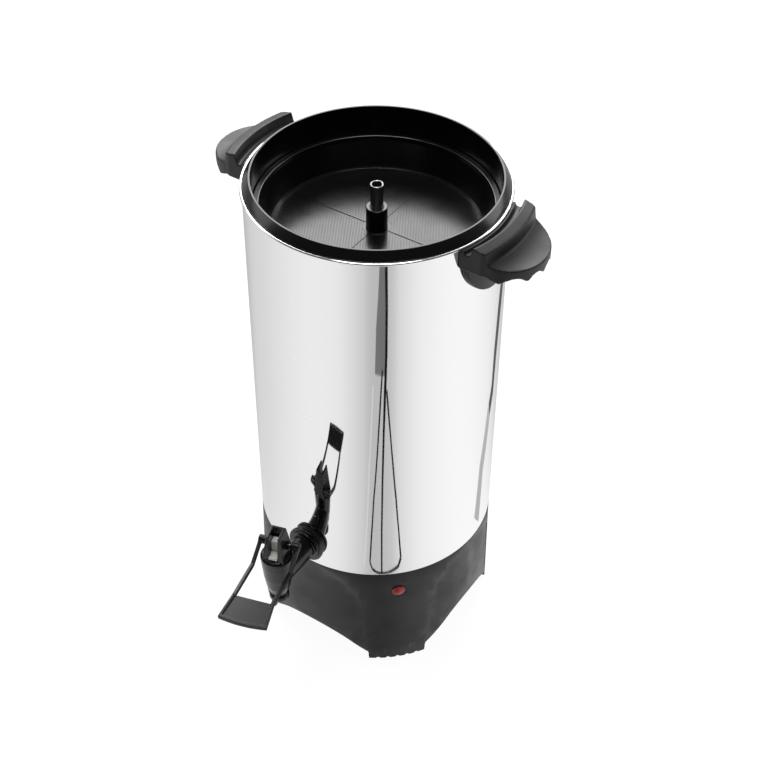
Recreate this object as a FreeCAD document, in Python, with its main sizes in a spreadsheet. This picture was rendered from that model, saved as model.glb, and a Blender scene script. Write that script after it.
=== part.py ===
import FreeCAD, Part
import Sketcher
import math
import os
import re

# Coffee urn of about a hundred cups. Millimetres, +Z up. The origin is on the urn's axis at the
# ground, the faucet points along -Y, the handles stand on +X and -X, and the four feet lie on
# the diagonals. The red lamp is on the foot between -Y and +X.

SIZES = {
    # vessel
    "base_height": 137, "shell_radius": 125, "shell_height": 406.5, "shell_wall": 0.8, "bead_radius": 1.5,
    "floor_rise": 10, "floor_sheet": 1, "floor_lip": 8, "crimp_gap": 0.1, "well_radius": 30, "well_depth": 9,
    # collar in the mouth of the vessel
    "collar_rise": 8.6, "collar_edge_inset": 6.8, "collar_inset": 8.5, "collar_wall": 2,
    "collar_skirt": 2.5, "collar_depth": 48.5, "collar_lip": 0.8, "ledge_depth": 23, "ledge_inset": 13,
    "ledge_thickness": 3, "slip_gap": 0.3,
    # moulded base
    "skirt_wall": 3, "skirt_flare": 2, "spigot_wall": 3, "shelf_thickness": 3,
    "cover_ledge_height": 60, "cover_ledge_reach": 6, "cover_ledge_thickness": 3,
    "foot_flange_height": 4, "foot_flange_thickness": 3, "foot_flange_reach": 10,
    "arch_half_width": 64.5, "arch_side_height": 9, "front_arch_height": 41.5, "front_arch_radius": 72,
    "side_arch_height": 49.5, "side_arch_radius": 54,
    "panel_depth": 0.8, "panel_foot_half_width": 65.2, "panel_half_width": 57.5, "panel_spring_height": 77,
    "notch_radius": 2.4, "notch_depth": 1.7, "notch_count": 5, "foot_count": 4, "foot_angle": 45,
    "foot_pad_angle": 22, "foot_pad_gap": 0.6, "peg_radius": 3, "peg_head_radius": 4.2, "peg_head_height": 2,
    # closing cover, its stud and nut
    "cover_sheet": 2, "cover_dish": 8, "cover_dish_radius": 50, "cover_slope": 12, "cover_gap": 0.4,
    "vent_count": 8, "vent_inner": 76, "vent_length": 32, "vent_width": 4,
    "stud_radius": 3, "stud_head_radius": 9, "stud_head_height": 3, "stud_tail": 4, "thread_gap": 0.05,
    "washer_radius": 9, "washer_thickness": 1.5, "cover_nut_height": 5, "cover_nut_radius": 5.8,
    # heating parts
    "heater_radius": 28.5, "heater_height": 14, "heater_waist": 20, "heater_step": 6,
    "ring_radius": 88, "ring_tube_radius": 3.5, "ring_angle": 325, "ring_leg_length": 14,
    "ring_leg_radius": 2.2,
    "clip_count": 3, "clip_sheet": 1.2, "clip_width": 9, "clip_foot": 4, "clip_gap": 0.2,
    "thermostat_radius": 8.5, "thermostat_height": 7, "thermostat_place": 52, "tab_width": 6,
    "tab_length": 8, "tab_sheet": 0.8, "fuse_radius": 2, "fuse_length": 16, "fuse_place": 60,
    # lamp
    "lamp_drop": 27, "lens_radius": 7, "lens_edge": 0.6, "lens_dome": 1.8, "lens_stem_radius": 5.2,
    "lens_stem_length": 8, "lens_bore": 3.4, "lens_bore_depth": 6, "lens_clip_radius": 8.5,
    "lens_clip_thickness": 1.4, "lamp_radius": 3.1, "lamp_length": 18,
    # appliance inlet at the rear
    "inlet_drop": 37, "inlet_width": 42, "inlet_depth": 30, "shroud_width": 32, "shroud_height": 21,
    "shroud_wall": 2.6, "shroud_length": 28, "inlet_flange": 3, "shroud_floor": 4, "pin_radius": 2.4,
    "pin_spacing": 18, "pin_length": 28, "snap_width": 12, "snap_height": 2, "snap_length": 4.5,
    # handles
    "handle_gap": 0.2, "handle_plate": 4.2, "handle_lug_slot": 8.8, "handle_lug_floor": 5,
    "handle_wall_rise": 5.3, "handle_wall_width": 11, "handle_wall_fall": 3, "handle_half_width": 45.5,
    "handle_end_half_width": 43.5, "handle_wall_end": 144, "grip_reach": 178.5, "grip_shelf": 9,
    "grip_tip_drop": 14.5, "grip_dish_radius": 60, "grip_underside": 22, "grip_ridge_drop": 28,
    "scallop_radius": 10, "scallop_depth": 5, "scallop_pitch": 20, "scallop_count": 4,
    "tongue_drop": 62, "tongue_radius": 42, "tongue_thickness": 6.5,
    "handle_screw_spread": 22, "handle_screw_drop": 34, "screw_radius": 2, "screw_head_radius": 4,
    "screw_head_height": 2.5, "screw_length": 10, "screw_gap": 0.2,
    # faucet
    "faucet_clearance": 2.3, "valve_reach": 53, "shell_hole_radius": 10, "stub_radius": 9.4,
    "stub_length": 20, "flange_gap": 2.5, "flange_radius": 20.5, "flange_thickness": 3.5,
    "flange_boss_radius": 17.8, "flange_boss_thickness": 2.5, "shank_radius": 13.5, "water_bore": 6,
    "gasket_radius": 19,
    "seal_radius": 15, "seal_thickness": 4.5, "shank_nut_radius": 16.2, "shank_nut_height": 6,
    "nozzle_drop": 33, "nozzle_radius": 10.4, "nozzle_ring": 5, "outlet_bore": 5.5, "neck_radius": 8.7,
    "neck_rise": 1.1, "hip_radius": 12.6, "hip_height": 13.4, "waist_radius": 14.7, "waist_height": 28,
    "cup_radius": 16.4, "cup_height": 54, "chamber_radius": 10.2, "seat_height": 17.5, "seat_cone": 8,
    "head_yaw": 16.5, "bonnet_radius": 16.8, "bonnet_height": 10, "hood_height": 29.5,
    "hood_foot_half_width": 11.4, "hood_top_half_width": 7.6, "hood_front": 12, "hood_top_front": 8,
    "hood_back": 14.6, "hood_top_back": 9.4, "hood_back_wall": 2.2,
    "plug_depth": 4.5, "plug_gap": 0.1, "slot_half_width": 4.7, "slot_rise": 1,
    "stem_radius": 3, "stem_gap": 0.05, "head_gap": 0.3, "head_front": 12, "head_back": 5,
    "head_slab": 3.2, "head_block_front": 2, "head_height": 16.8, "head_lift_gap": 0.4,
    "groove_height": 4.6, "groove_depth": 4.2,
    "seat_cup_bottom_radius": 5.6, "seat_cup_radius": 8.4, "seat_cup_height": 9, "seat_cup_socket": 3,
    "seat_cup_gap": 0.8, "spring_radius": 6.3, "spring_wire": 0.5, "spring_turns": 6, "spring_gap": 0.3,
    # lever
    "pivot_back": 8.6, "pivot_rise": 5.6, "pivot_pin_radius": 1.75, "running_gap": 0.05,
    "lever_boss_radius": 4.6, "lever_boss_inner": 12.3, "arm_inner": 18.2, "arm_thickness": 3.5,
    "arm_half_height": 2.2, "knee_forward": 17, "knee_drop": 11.6, "pad_forward": 65, "pad_drop": 3.8,
    "pad_length": 30.5, "pad_half_width": 25.2, "pad_edge_sag": 2.6, "pad_thickness": 4, "pad_dish": 1.6,
    "pad_rim": 3.2, "cam_hub_radius": 2.8, "cam_tip_radius": 1.7, "cam_neck": 2, "cam_tip_back": 2.7,
    "cam_gap": 0.5,
    # basket, stem tube and pump
    "rim_gap": 0.6, "rim_thickness": 2, "basket_gap": 0.6, "basket_wall": 1.6, "basket_shoulder": 5,
    "basket_drop": 30, "basket_floor_inset": 22.5, "strainer_sheet": 1.2, "strainer_gap": 0.3,
    "floor_ring_reach": 4.5, "floor_ring_thickness": 2, "spoke_count": 4, "spoke_width": 3,
    "spoke_height": 3, "spoke_tip_gap": 0.1, "sleeve_radius": 10.3, "sleeve_rise": 23, "sleeve_gap": 0.4,
    "hole_radius": 2.2, "hole_rows": 6, "hole_first_row": 22, "hole_row_step": 14, "hole_step": 17,
    "tube_radius": 6.2, "tube_wall": 0.9, "tube_rise": -3.2, "tube_lift": 14, "foot_radius": 27,
    "foot_sheet": 1.4, "foot_rim_height": 3, "foot_cone_height": 8, "foot_socket_height": 18,
    "foot_socket_wall": 1.75, "inlet_notch_width": 6, "inlet_notch_height": 2.4,
    "bell_lip_radius": 20.5, "bell_lip_sheet": 0.8, "disc_gap": 0.1,
    "pump_disc_radius": 22, "pump_disc_bore": 7, "pump_disc_sheet": 1.3,
    "stop_bead_reach": 1.4, "stop_bead_half_height": 1.6,
    # how far cutting tools run past the faces that they cut
    "overcut": 2,
}

PLACES = {
    "shell_bore": "shell_radius - shell_wall",
    "shell_top": "base_height + shell_height",
    "bead_centre": "shell_bore + bead_radius",
    "bead_height": "shell_top - bead_radius",
    "bead_join": "bead_height - sqrt(bead_radius^2 - (bead_centre - shell_radius)^2)",
    "floor_top": "base_height + floor_rise",
    "floor_under": "floor_top - floor_sheet",
    "floor_edge": "shell_bore - crimp_gap",
    "well_top": "floor_top - well_depth",
    "well_under": "well_top - floor_sheet",
    "collar_outer": "shell_bore - slip_gap",
    "collar_edge_radius": "shell_radius - collar_edge_inset",
    "collar_bore": "shell_radius - collar_inset",
    "ledge_bore": "shell_radius - ledge_inset",
    "basket_floor_radius": "shell_radius - basket_floor_inset",
    "lamp_height": "base_height - lamp_drop",
    "inlet_height": "base_height - inlet_drop",
    "faucet_height": "floor_top + shank_nut_radius + faucet_clearance",
    "collar_top": "shell_top + collar_rise",
    "collar_foot": "shell_top - collar_depth",
    "ledge_top": "shell_top - ledge_depth",
    "foot_radius_out": "shell_radius + skirt_flare",
    "skirt_bore": "shell_radius - skirt_wall",
    "spigot_radius": "floor_edge - floor_sheet - slip_gap",
    "front_arch_centre": "front_arch_height - front_arch_radius",
    "side_arch_centre": "side_arch_height - side_arch_radius",
    "panel_apex": "panel_spring_height + panel_half_width",
    "cover_top": "cover_ledge_height",
    "cover_low": "cover_top - cover_dish",
    "stud_bore": "stud_radius + thread_gap * 4",
    "heater_under": "well_under - heater_height",
    "ring_height": "floor_under - ring_tube_radius - clip_gap",
    "lens_seat": "shell_radius + skirt_flare * (base_height - lamp_height) / base_height + slip_gap / 2",
    "inlet_face": "shell_radius + inlet_flange",
    "handle_inner": "shell_radius + handle_gap",
    "handle_wall_inner": "handle_inner + handle_plate + handle_lug_slot",
    "handle_wall_outer": "handle_wall_inner + handle_wall_width",
    "handle_screw_height": "shell_top - handle_screw_drop",
    "screw_seat": "sqrt((collar_outer - collar_skirt)^2 - (handle_screw_spread + screw_head_radius)^2)",
    "valve_y": "shell_radius + valve_reach",
    "flange_back": "shell_radius + flange_gap",
    "nozzle_foot": "faucet_height - nozzle_drop",
    "ring_top": "nozzle_foot + nozzle_ring",
    "cup_top": "nozzle_foot + cup_height",
    "seat_foot": "nozzle_foot + seat_height",
    "hood_foot": "cup_top + bonnet_height",
    "hood_top": "hood_foot + hood_height",
    "slot_floor": "hood_foot + slot_rise",
    "plug_foot": "cup_top - plug_depth",
    "pivot_height": "hood_foot + pivot_rise",
    "head_foot": "slot_floor + head_lift_gap",
    "seat_cup_foot": "seat_foot + seat_cup_gap",
    "seat_cup_top": "seat_cup_foot + seat_cup_height",
    "arm_outer": "arm_inner + arm_thickness",
    "rim_top": "ledge_top + rim_thickness",
    "basket_outer": "ledge_bore - basket_gap",
    "basket_inner": "basket_outer - basket_wall",
    "strainer_top": "rim_top - basket_drop",
    "strainer_under": "strainer_top - strainer_sheet",
    "tube_top": "shell_top + tube_rise",
    "tube_foot": "well_top + tube_lift",
    "stop_bead_top": "strainer_under - spoke_height - slip_gap",
    "nut_foot": "cover_low - cover_sheet - washer_thickness - cover_nut_height",
}

NODES = []
doc = FreeCAD.newDocument("coffee_urn")


def fill_sheet(name, cells):
    """Make one spreadsheet whose column B holds the values under their aliases."""
    sheet = doc.addObject("Spreadsheet::Sheet", name)
    for row, (alias, content) in enumerate(cells.items(), start=1):
        sheet.set(f"A{row}", alias)
        sheet.set(f"B{row}", content)
        sheet.setAlias(f"B{row}", alias)
    return sheet


def linked(formula):
    """Write the sheet's name before each size or place that a formula uses."""
    def with_sheet(match):
        word = match.group(0)
        if word in SIZES:
            return "Sizes." + word
        if word in PLACES:
            return "Places." + word
        return word
    return re.sub(r"[a-z_]+", with_sheet, str(formula))


def number(formula):
    """The present value of a formula, as a plain number."""
    found = sizes.evalExpression(linked(formula))
    return float(getattr(found, "Value", found))


def bind(thing, prop, formula):
    thing.setExpression(prop, linked(formula))


sizes = fill_sheet("Sizes", {alias: str(value) for alias, value in SIZES.items()})
places = fill_sheet("Places", {alias: "=" + linked(formula) for alias, formula in PLACES.items()})
doc.recompute()


def arc_between(start, end, radius, side):
    """Arc under a half circle that bulges to one side of the way from start to end.

    Returns the arc and which of its ends is the start."""
    middle = (start + end) * 0.5
    along = end - start
    left = FreeCAD.Vector(-along.y, along.x, 0).normalize()
    rise = math.sqrt(max(radius ** 2 - (along.Length / 2) ** 2, 0))
    centre = middle + left * (-rise if side == "left" else rise)
    first, last = (end, start) if side == "left" else (start, end)
    angle_first = math.atan2(first.y - centre.y, first.x - centre.x)
    angle_last = math.atan2(last.y - centre.y, last.x - centre.x)
    if angle_last <= angle_first:
        angle_last += 2 * math.pi
    circle = Part.Circle(centre, FreeCAD.Vector(0, 0, 1), radius)
    return Part.ArcOfCircle(circle, angle_first, angle_last), (2 if side == "left" else 1)


def draw_outline(sketch, corners):
    """Close an outline of (x, y) corners; (x, y, radius, side) arrives at its corner by an arc."""
    spots = [FreeCAD.Vector(number(corner[0]), number(corner[1]), 0) for corner in corners]
    edges = []
    for index, corner in enumerate(corners):
        start, end = spots[index - 1], spots[index]
        if len(corner) == 2:
            edges.append((sketch.addGeometry(Part.LineSegment(start, end)), 1))
            continue
        arc, start_end = arc_between(start, end, number(corner[2]), corner[3])
        edges.append((sketch.addGeometry(arc), start_end))
        hold(sketch, ("Radius", edges[-1][0]), corner[2])
    for index, (edge, start_end) in enumerate(edges):
        following, following_start = edges[(index + 1) % len(edges)]
        finish = 3 - start_end
        sketch.addConstraint(Sketcher.Constraint("Coincident", edge, finish, following, following_start))
        hold(sketch, ("DistanceX", -1, 1, edge, finish), corners[index][0])
        hold(sketch, ("DistanceY", -1, 1, edge, finish), corners[index][1])


def hold(sketch, kind, formula):
    """Add one dimension to a sketch and bind it to its formula."""
    index = sketch.addConstraint(Sketcher.Constraint(*kind, number(formula)))
    bind(sketch, f"Constraints[{index}]", formula)


def new_sketch(body, role, name, corners):
    sketch = body.newObject("Sketcher::SketchObject", name)
    plane = next(feature for feature in body.Origin.OriginFeatures if feature.Role == role)
    sketch.AttachmentSupport = [(plane, "")]
    sketch.MapMode = "FlatFace"
    draw_outline(sketch, corners)
    return sketch


def turned(name, corners, sweep=None):
    """Body turned about its own Z axis; the corners are (radius, height)."""
    body = doc.addObject("PartDesign::Body", name)
    sketch = new_sketch(body, "XZ_Plane", name + "_profile", corners)
    turn = body.newObject("PartDesign::Revolution", name + "_turn")
    turn.Profile = sketch
    turn.ReferenceAxis = (sketch, ["V_Axis"])
    turn.Angle = 360
    if sweep:
        turn.Midplane = True
        bind(turn, "Angle", sweep)
    return body


def prism(name, role, corners, depth):
    """Body padded from one outline on an origin plane, half to each side of it."""
    body = doc.addObject("PartDesign::Body", name)
    sketch = new_sketch(body, role, name + "_outline", corners)
    pad = body.newObject("PartDesign::Pad", name + "_pad")
    pad.Profile = sketch
    pad.SideType = "Symmetric"
    bind(pad, "Length", depth)
    return body


def cylinder(name, radius, height, spot=("0", "0", "0"), axis=(0, 0, 1)):
    """Cylinder that starts at a spot and runs along an axis."""
    solid = doc.addObject("Part::Cylinder", name)
    bind(solid, "Radius", radius)
    bind(solid, "Height", height)
    return move(solid, spot, FreeCAD.Rotation(FreeCAD.Vector(0, 0, 1), FreeCAD.Vector(*axis)))


def box(name, width, depth, height, centre_x="0", y="0", z="0"):
    """Box centred on X, with its near and lower faces at y and z."""
    solid = doc.addObject("Part::Box", name)
    bind(solid, "Length", width)
    bind(solid, "Width", depth)
    bind(solid, "Height", height)
    return move(solid, (f"({centre_x}) - ({width}) / 2", y, z))


def move(thing, spot, rotation=FreeCAD.Rotation()):
    thing.Placement = FreeCAD.Placement(FreeCAD.Vector(*(number(part) for part in spot)), rotation)
    for letter, part in zip("xyz", spot):
        bind(thing, f"Placement.Base.{letter}", part)
    return thing


def spin(thing, angle):
    """Turn a finished piece about the urn's axis."""
    thing.Placement = FreeCAD.Placement(FreeCAD.Vector(), FreeCAD.Rotation(FreeCAD.Vector(0, 0, 1), angle))
    return thing


def cut(name, base, *tools):
    result = doc.addObject("Part::Cut", name)
    result.Base = base
    result.Tool = tools[0] if len(tools) == 1 else fuse(name + "_tools", *tools)
    return result


def fuse(name, *pieces):
    result = doc.addObject("Part::MultiFuse", name)
    result.Shapes = list(pieces)
    return result


def common(name, *pieces):
    result = doc.addObject("Part::MultiCommon", name)
    result.Shapes = list(pieces)
    return result


def group(name, *pieces):
    result = doc.addObject("Part::Compound", name)
    result.Links = list(pieces)
    return result


def node(name, thing):
    """Register a finished sub-part under the name that its file gets."""
    thing.Label = name
    NODES.append(thing)
    return thing


TO_FRONT = FreeCAD.Rotation(FreeCAD.Vector(0, 0, 1), FreeCAD.Vector(0, -1, 0))


def on_shank(thing):
    """Lay a turned piece along the faucet's shank, its heights now counted from the urn's axis."""
    return move(thing, ("0", "0", "faucet_height"), TO_FRONT)


def on_valve(thing):
    """Stand a piece on the faucet's upright valve axis."""
    return move(thing, ("0", "-valve_y", "0"))


def on_head(thing):
    """Stand a piece of the valve's head on the same axis, turned as far as the bonnet is screwed on."""
    turn = FreeCAD.Rotation(FreeCAD.Vector(0, 0, 1), number("head_yaw"))
    return move(thing, ("0", "-valve_y", "0"), turn)


def vessel():
    tube = turned("shell_tube", [
        ("shell_bore", "base_height"), ("shell_radius", "base_height"), ("shell_radius", "bead_join"),
        ("bead_centre + bead_radius", "bead_height", "bead_radius", "right"),
        ("bead_centre", "shell_top", "bead_radius", "right"),
        ("shell_bore", "bead_height", "bead_radius", "right"),
    ])
    faucet_hole = cylinder("shell_faucet_hole", "shell_hole_radius", "shell_radius + overcut",
                           ("0", "0", "faucet_height"), (0, -1, 0))
    node("body_shell", cut("shell_cut", tube, faucet_hole, *handle_screw_holes("shell")))
    node("tank_floor", turned("floor_pan", [
        ("floor_edge", "floor_top - floor_lip"), ("floor_edge", "floor_top"), ("well_radius", "floor_top"),
        ("well_radius", "well_top"), ("0", "well_top"), ("0", "well_under"),
        ("well_radius + floor_sheet", "well_under"), ("well_radius + floor_sheet", "floor_under"),
        ("floor_edge - floor_sheet", "floor_under"), ("floor_edge - floor_sheet", "floor_top - floor_lip"),
    ]))


def handle_screw_holes(owner):
    """Clearance holes for the four handle screws, through the vessel's wall and the collar."""
    holes = []
    for side in (1, -1):
        for place in (1, -1):
            spot = (f"{side} * screw_seat / 2", f"{place} * handle_screw_spread", "handle_screw_height")
            name = f"{owner}_screw_hole_{len(holes) + 1}"
            holes.append(cylinder(name, "screw_radius + screw_gap", "shell_radius", spot, (side, 0, 0)))
    return holes


def collar():
    ring = turned("collar_turned", [
        ("ledge_bore", "ledge_top - ledge_thickness"), ("ledge_bore", "ledge_top"),
        ("collar_bore", "ledge_top"), ("collar_bore", "collar_top - collar_lip"),
        ("collar_bore + collar_lip", "collar_top"),
        ("collar_edge_radius", "collar_top"), ("shell_bore + slip_gap", "shell_top + collar_lip"),
        ("shell_bore + slip_gap", "shell_top - slip_gap"), ("collar_outer", "shell_top - slip_gap"),
        ("collar_outer", "collar_foot"), ("collar_outer - collar_skirt", "collar_foot"),
        ("collar_outer - collar_skirt", "shell_top - collar_skirt"),
        ("collar_bore + collar_wall", "shell_top - collar_skirt"),
        ("collar_bore + collar_wall", "ledge_top - ledge_thickness"),
    ])
    node("collar_ring", cut("collar_cut", ring, *handle_screw_holes("collar")))


def arch(name, role, height, radius, centre):
    """Prism that opens one pair of arches: steep sides that run tangent into a round crown."""
    turn = f"(atan2(arch_side_height - {centre}; arch_half_width)" \
           f" + acos({radius} / sqrt(arch_half_width^2 + (arch_side_height - {centre})^2)))"
    reach = f"{radius} * cos({turn})"
    rise = f"{centre} + {radius} * sin({turn})"
    return prism(name, role, [
        ("-arch_half_width", "-overcut"), ("-arch_half_width", "arch_side_height"), (f"-{reach}", rise),
        ("0", height, radius, "left"), (reach, rise, radius, "left"),
        ("arch_half_width", "arch_side_height"), ("arch_half_width", "-overcut"),
    ], "2 * foot_radius_out + 2 * overcut")


def panel(name, role):
    """Shallow sunk panel over an arch, bounded by the creases that run up beside the feet."""
    outline = prism(name + "_outline", role, [
        ("-panel_foot_half_width", "-overcut"), ("-panel_half_width", "panel_spring_height"),
        ("0", "panel_apex", "panel_half_width", "left"),
        ("panel_half_width", "panel_spring_height", "panel_half_width", "left"),
        ("panel_foot_half_width", "-overcut"),
    ], "2 * foot_radius_out + 2 * overcut")
    ring = turned(name + "_ring", [
        ("foot_radius_out - panel_depth", "-overcut"), ("foot_radius_out + overcut", "-overcut"),
        ("foot_radius_out + overcut", "base_height"), ("shell_radius - panel_depth", "base_height"),
    ])
    return common(name, outline, ring)


def foot_angles():
    count = int(number("foot_count"))
    return [number("foot_angle") + 360 / count * index for index in range(count)]


def foot_notches():
    """Round notches that leave a row of small bumps under each foot."""
    count = int(number("notch_count"))
    half_span = number("foot_angle") - math.degrees(math.asin(number("arch_half_width / foot_radius_out")))
    notches = []
    for foot in foot_angles():
        for index in range(count):
            angle = math.radians(foot + half_span * (2 * (index + 1) / (count + 1) - 1))
            way = (math.cos(angle), math.sin(angle), 0)
            start = [f"(skirt_bore - overcut) * {part:.6f}" for part in way[:2]]
            notches.append(cylinder(f"notch_{len(notches) + 1}", "notch_radius",
                                    "skirt_wall + skirt_flare + 2 * overcut",
                                    (*start, "notch_depth - notch_radius"), way))
    return notches


def base():
    skirt = turned("skirt_turned", [
        ("foot_radius_out", "0"), ("shell_radius", "base_height"), ("spigot_radius", "base_height"),
        ("spigot_radius", "floor_under"), ("spigot_radius - spigot_wall", "floor_under"),
        ("spigot_radius - spigot_wall", "base_height - shelf_thickness"),
        ("skirt_bore", "base_height - shelf_thickness"),
        ("skirt_bore", "cover_ledge_height + cover_ledge_thickness"),
        ("skirt_bore - cover_ledge_reach", "cover_ledge_height + cover_ledge_thickness"),
        ("skirt_bore - cover_ledge_reach", "cover_ledge_height"), ("skirt_bore", "cover_ledge_height"),
        ("skirt_bore", "foot_flange_height + foot_flange_thickness"),
        ("skirt_bore - foot_flange_reach", "foot_flange_height + foot_flange_thickness"),
        ("skirt_bore - foot_flange_reach", "foot_flange_height"), ("skirt_bore", "foot_flange_height"),
        ("skirt_bore", "0"),
    ])
    openings = [
        arch("front_arch", "XZ_Plane", "front_arch_height", "front_arch_radius", "front_arch_centre"),
        arch("side_arch", "YZ_Plane", "side_arch_height", "side_arch_radius", "side_arch_centre"),
        panel("front_panel", "XZ_Plane"),
        panel("side_panel", "YZ_Plane"),
        box("inlet_opening", "shroud_width + 2 * slip_gap", "shell_radius", "shroud_height + 2 * slip_gap",
            y="skirt_bore / 2", z="inlet_height - shroud_height / 2 - slip_gap"),
        lamp_tool("lamp_hole", "lens_stem_radius + slip_gap", "skirt_bore / 2", "shell_radius"),
    ]
    for index, foot in enumerate(foot_angles(), start=1):
        spot = peg_spot(foot)
        openings.append(cylinder(f"peg_hole_{index}", "peg_radius + screw_gap", "foot_flange_thickness * 3",
                                 (*spot, "foot_flange_height - foot_flange_thickness")))
    node("base_skirt", cut("skirt_cut", skirt, *openings, *foot_notches()))


def peg_spot(foot):
    """Where the peg of a foot pad stands."""
    middle = "(skirt_bore - (foot_flange_reach + foot_pad_gap) / 2)"
    turn = math.radians(foot)
    return f"{middle} * {math.cos(turn):.6f}", f"{middle} * {math.sin(turn):.6f}"


def lamp_way():
    """Direction of the lamp, out through the foot between the faucet and the right handle."""
    angle = math.radians(number("foot_angle"))
    return FreeCAD.Vector(math.sin(angle), -math.cos(angle), 0)


def lamp_tool(name, radius, start, length):
    """Cylinder along the lamp's own direction, started at a distance from the urn's axis."""
    way = lamp_way()
    spot = (f"{start} * {way.x:.6f}", f"{start} * {way.y:.6f}", "lamp_height")
    return cylinder(name, radius, length, spot, way)


def on_lamp(thing):
    """Lay a turned piece along the lamp's direction, its heights now counted from the urn's axis."""
    return move(thing, ("0", "0", "lamp_height"), FreeCAD.Rotation(FreeCAD.Vector(0, 0, 1), lamp_way()))


def foot_pads():
    """Rubber pads under the feet, each held by a barbed peg through the foot's flange."""
    pads = []
    for index, foot in enumerate(foot_angles(), start=1):
        spot = peg_spot(foot)
        slab = turned(f"foot_slab_{index}", [
            ("skirt_bore - foot_flange_reach + foot_pad_gap", "0"), ("skirt_bore - foot_pad_gap", "0"),
            ("skirt_bore - foot_pad_gap", "foot_flange_height"),
            ("skirt_bore - foot_flange_reach + foot_pad_gap", "foot_flange_height"),
        ], sweep="foot_pad_angle")
        peg = cylinder(f"foot_peg_{index}", "peg_radius", "foot_flange_thickness + peg_head_height + overcut",
                       (*spot, "foot_flange_height - overcut"))
        head = cylinder(f"foot_peg_head_{index}", "peg_head_radius", "peg_head_height",
                        (*spot, "foot_flange_height + foot_flange_thickness"))
        pads.append(fuse(f"foot_pad_{index}", spin(slab, foot), peg, head))
    node("foot_pads", group("foot_pad_group", *pads))


def bottom_cover():
    """Dished pan that closes the wiring space, with a ring of vents, clamped by one central stud."""
    pan = turned("cover_pan", [
        ("stud_bore", "cover_low - cover_sheet"), ("cover_dish_radius", "cover_low - cover_sheet"),
        ("cover_dish_radius + cover_slope", "cover_top - cover_sheet"),
        ("skirt_bore - cover_gap", "cover_top - cover_sheet"), ("skirt_bore - cover_gap", "cover_top"),
        ("cover_dish_radius + cover_slope - cover_sheet / 2", "cover_top"),
        ("cover_dish_radius - cover_sheet / 2", "cover_low"), ("stud_bore", "cover_low"),
    ])
    slot = new_sketch(pan, "XY_Plane", "vent_outline", [
        ("vent_inner", "-vent_width / 2"), ("vent_inner + vent_length", "-vent_width / 2"),
        ("vent_inner + vent_length", "vent_width / 2"), ("vent_inner", "vent_width / 2"),
    ])
    vents = pan.newObject("PartDesign::Pocket", "vents")
    vents.Profile = slot
    vents.Reversed = True
    bind(vents, "Length", "cover_top + overcut")
    around = pan.newObject("PartDesign::PolarPattern", "vents_around")
    around.Originals = [vents]
    around.Axis = (slot, ["N_Axis"])
    around.Angle = 360
    bind(around, "Occurrences", "vent_count")
    pan.Tip = around
    node("bottom_cover", pan)
    node("centre_stud", turned("stud", [
        ("0", "heater_under"), ("0", "nut_foot - stud_tail"), ("stud_radius", "nut_foot - stud_tail"),
        ("stud_radius", "heater_under - stud_head_height"),
        ("stud_head_radius", "heater_under - stud_head_height"), ("stud_head_radius", "heater_under"),
    ]))
    node("cover_washer", turned("washer_ring", [
        ("stud_bore", "cover_low - cover_sheet - washer_thickness"),
        ("washer_radius", "cover_low - cover_sheet - washer_thickness"),
        ("washer_radius", "cover_low - cover_sheet"), ("stud_bore", "cover_low - cover_sheet"),
    ]))
    node("cover_nut", hex_nut("cover_hex", "cover_nut_radius", "cover_nut_height",
                              "stud_radius + thread_gap", "nut_foot"))


def hex_nut(name, radius, height, bore, foot):
    blank = doc.addObject("Part::Prism", name + "_blank")
    blank.Polygon = 6
    bind(blank, "Circumradius", radius)
    bind(blank, "Height", height)
    move(blank, ("0", "0", foot))
    hole = cylinder(name + "_bore", bore, f"{height} + 2 * overcut", ("0", "0", f"{foot} - overcut"))
    return cut(name, blank, hole)


def heating():
    node("pump_heater", turned("heater_block", [
        ("0", "heater_under"), ("heater_waist", "heater_under"),
        ("heater_waist", "heater_under + heater_step"),
        ("heater_radius", "well_under - heater_step"), ("heater_radius", "well_under"), ("0", "well_under"),
    ]))
    ring = doc.addObject("Part::Torus", "ring_tube")
    bind(ring, "Radius1", "ring_radius")
    bind(ring, "Radius2", "ring_tube_radius")
    bind(ring, "Angle3", "ring_angle")
    half_gap = (360 - number("ring_angle")) / 2
    move(ring, ("0", "0", "ring_height"), FreeCAD.Rotation(FreeCAD.Vector(0, 0, 1), 90 + half_gap))
    legs = []
    for side in (1, -1):
        angle = math.radians(90 + side * half_gap) + side * number("ring_leg_radius / ring_radius")
        spot = (f"ring_radius * {math.cos(angle):.6f}", f"ring_radius * {math.sin(angle):.6f}",
                "ring_height - ring_leg_length")
        legs.append(cylinder(f"ring_leg_{len(legs) + 1}", "ring_leg_radius", "ring_leg_length", spot))
    node("warming_element", fuse("ring_with_legs", ring, *legs))
    clips = []
    for index in range(int(number("clip_count"))):
        clip = prism(f"element_clip_{index + 1}", "XZ_Plane", clip_outline(), "clip_width")
        clips.append(spin(clip, -90 + 360 / number("clip_count") * index))
    node("element_clips", group("element_clip_group", *clips))
    sensor()


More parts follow.
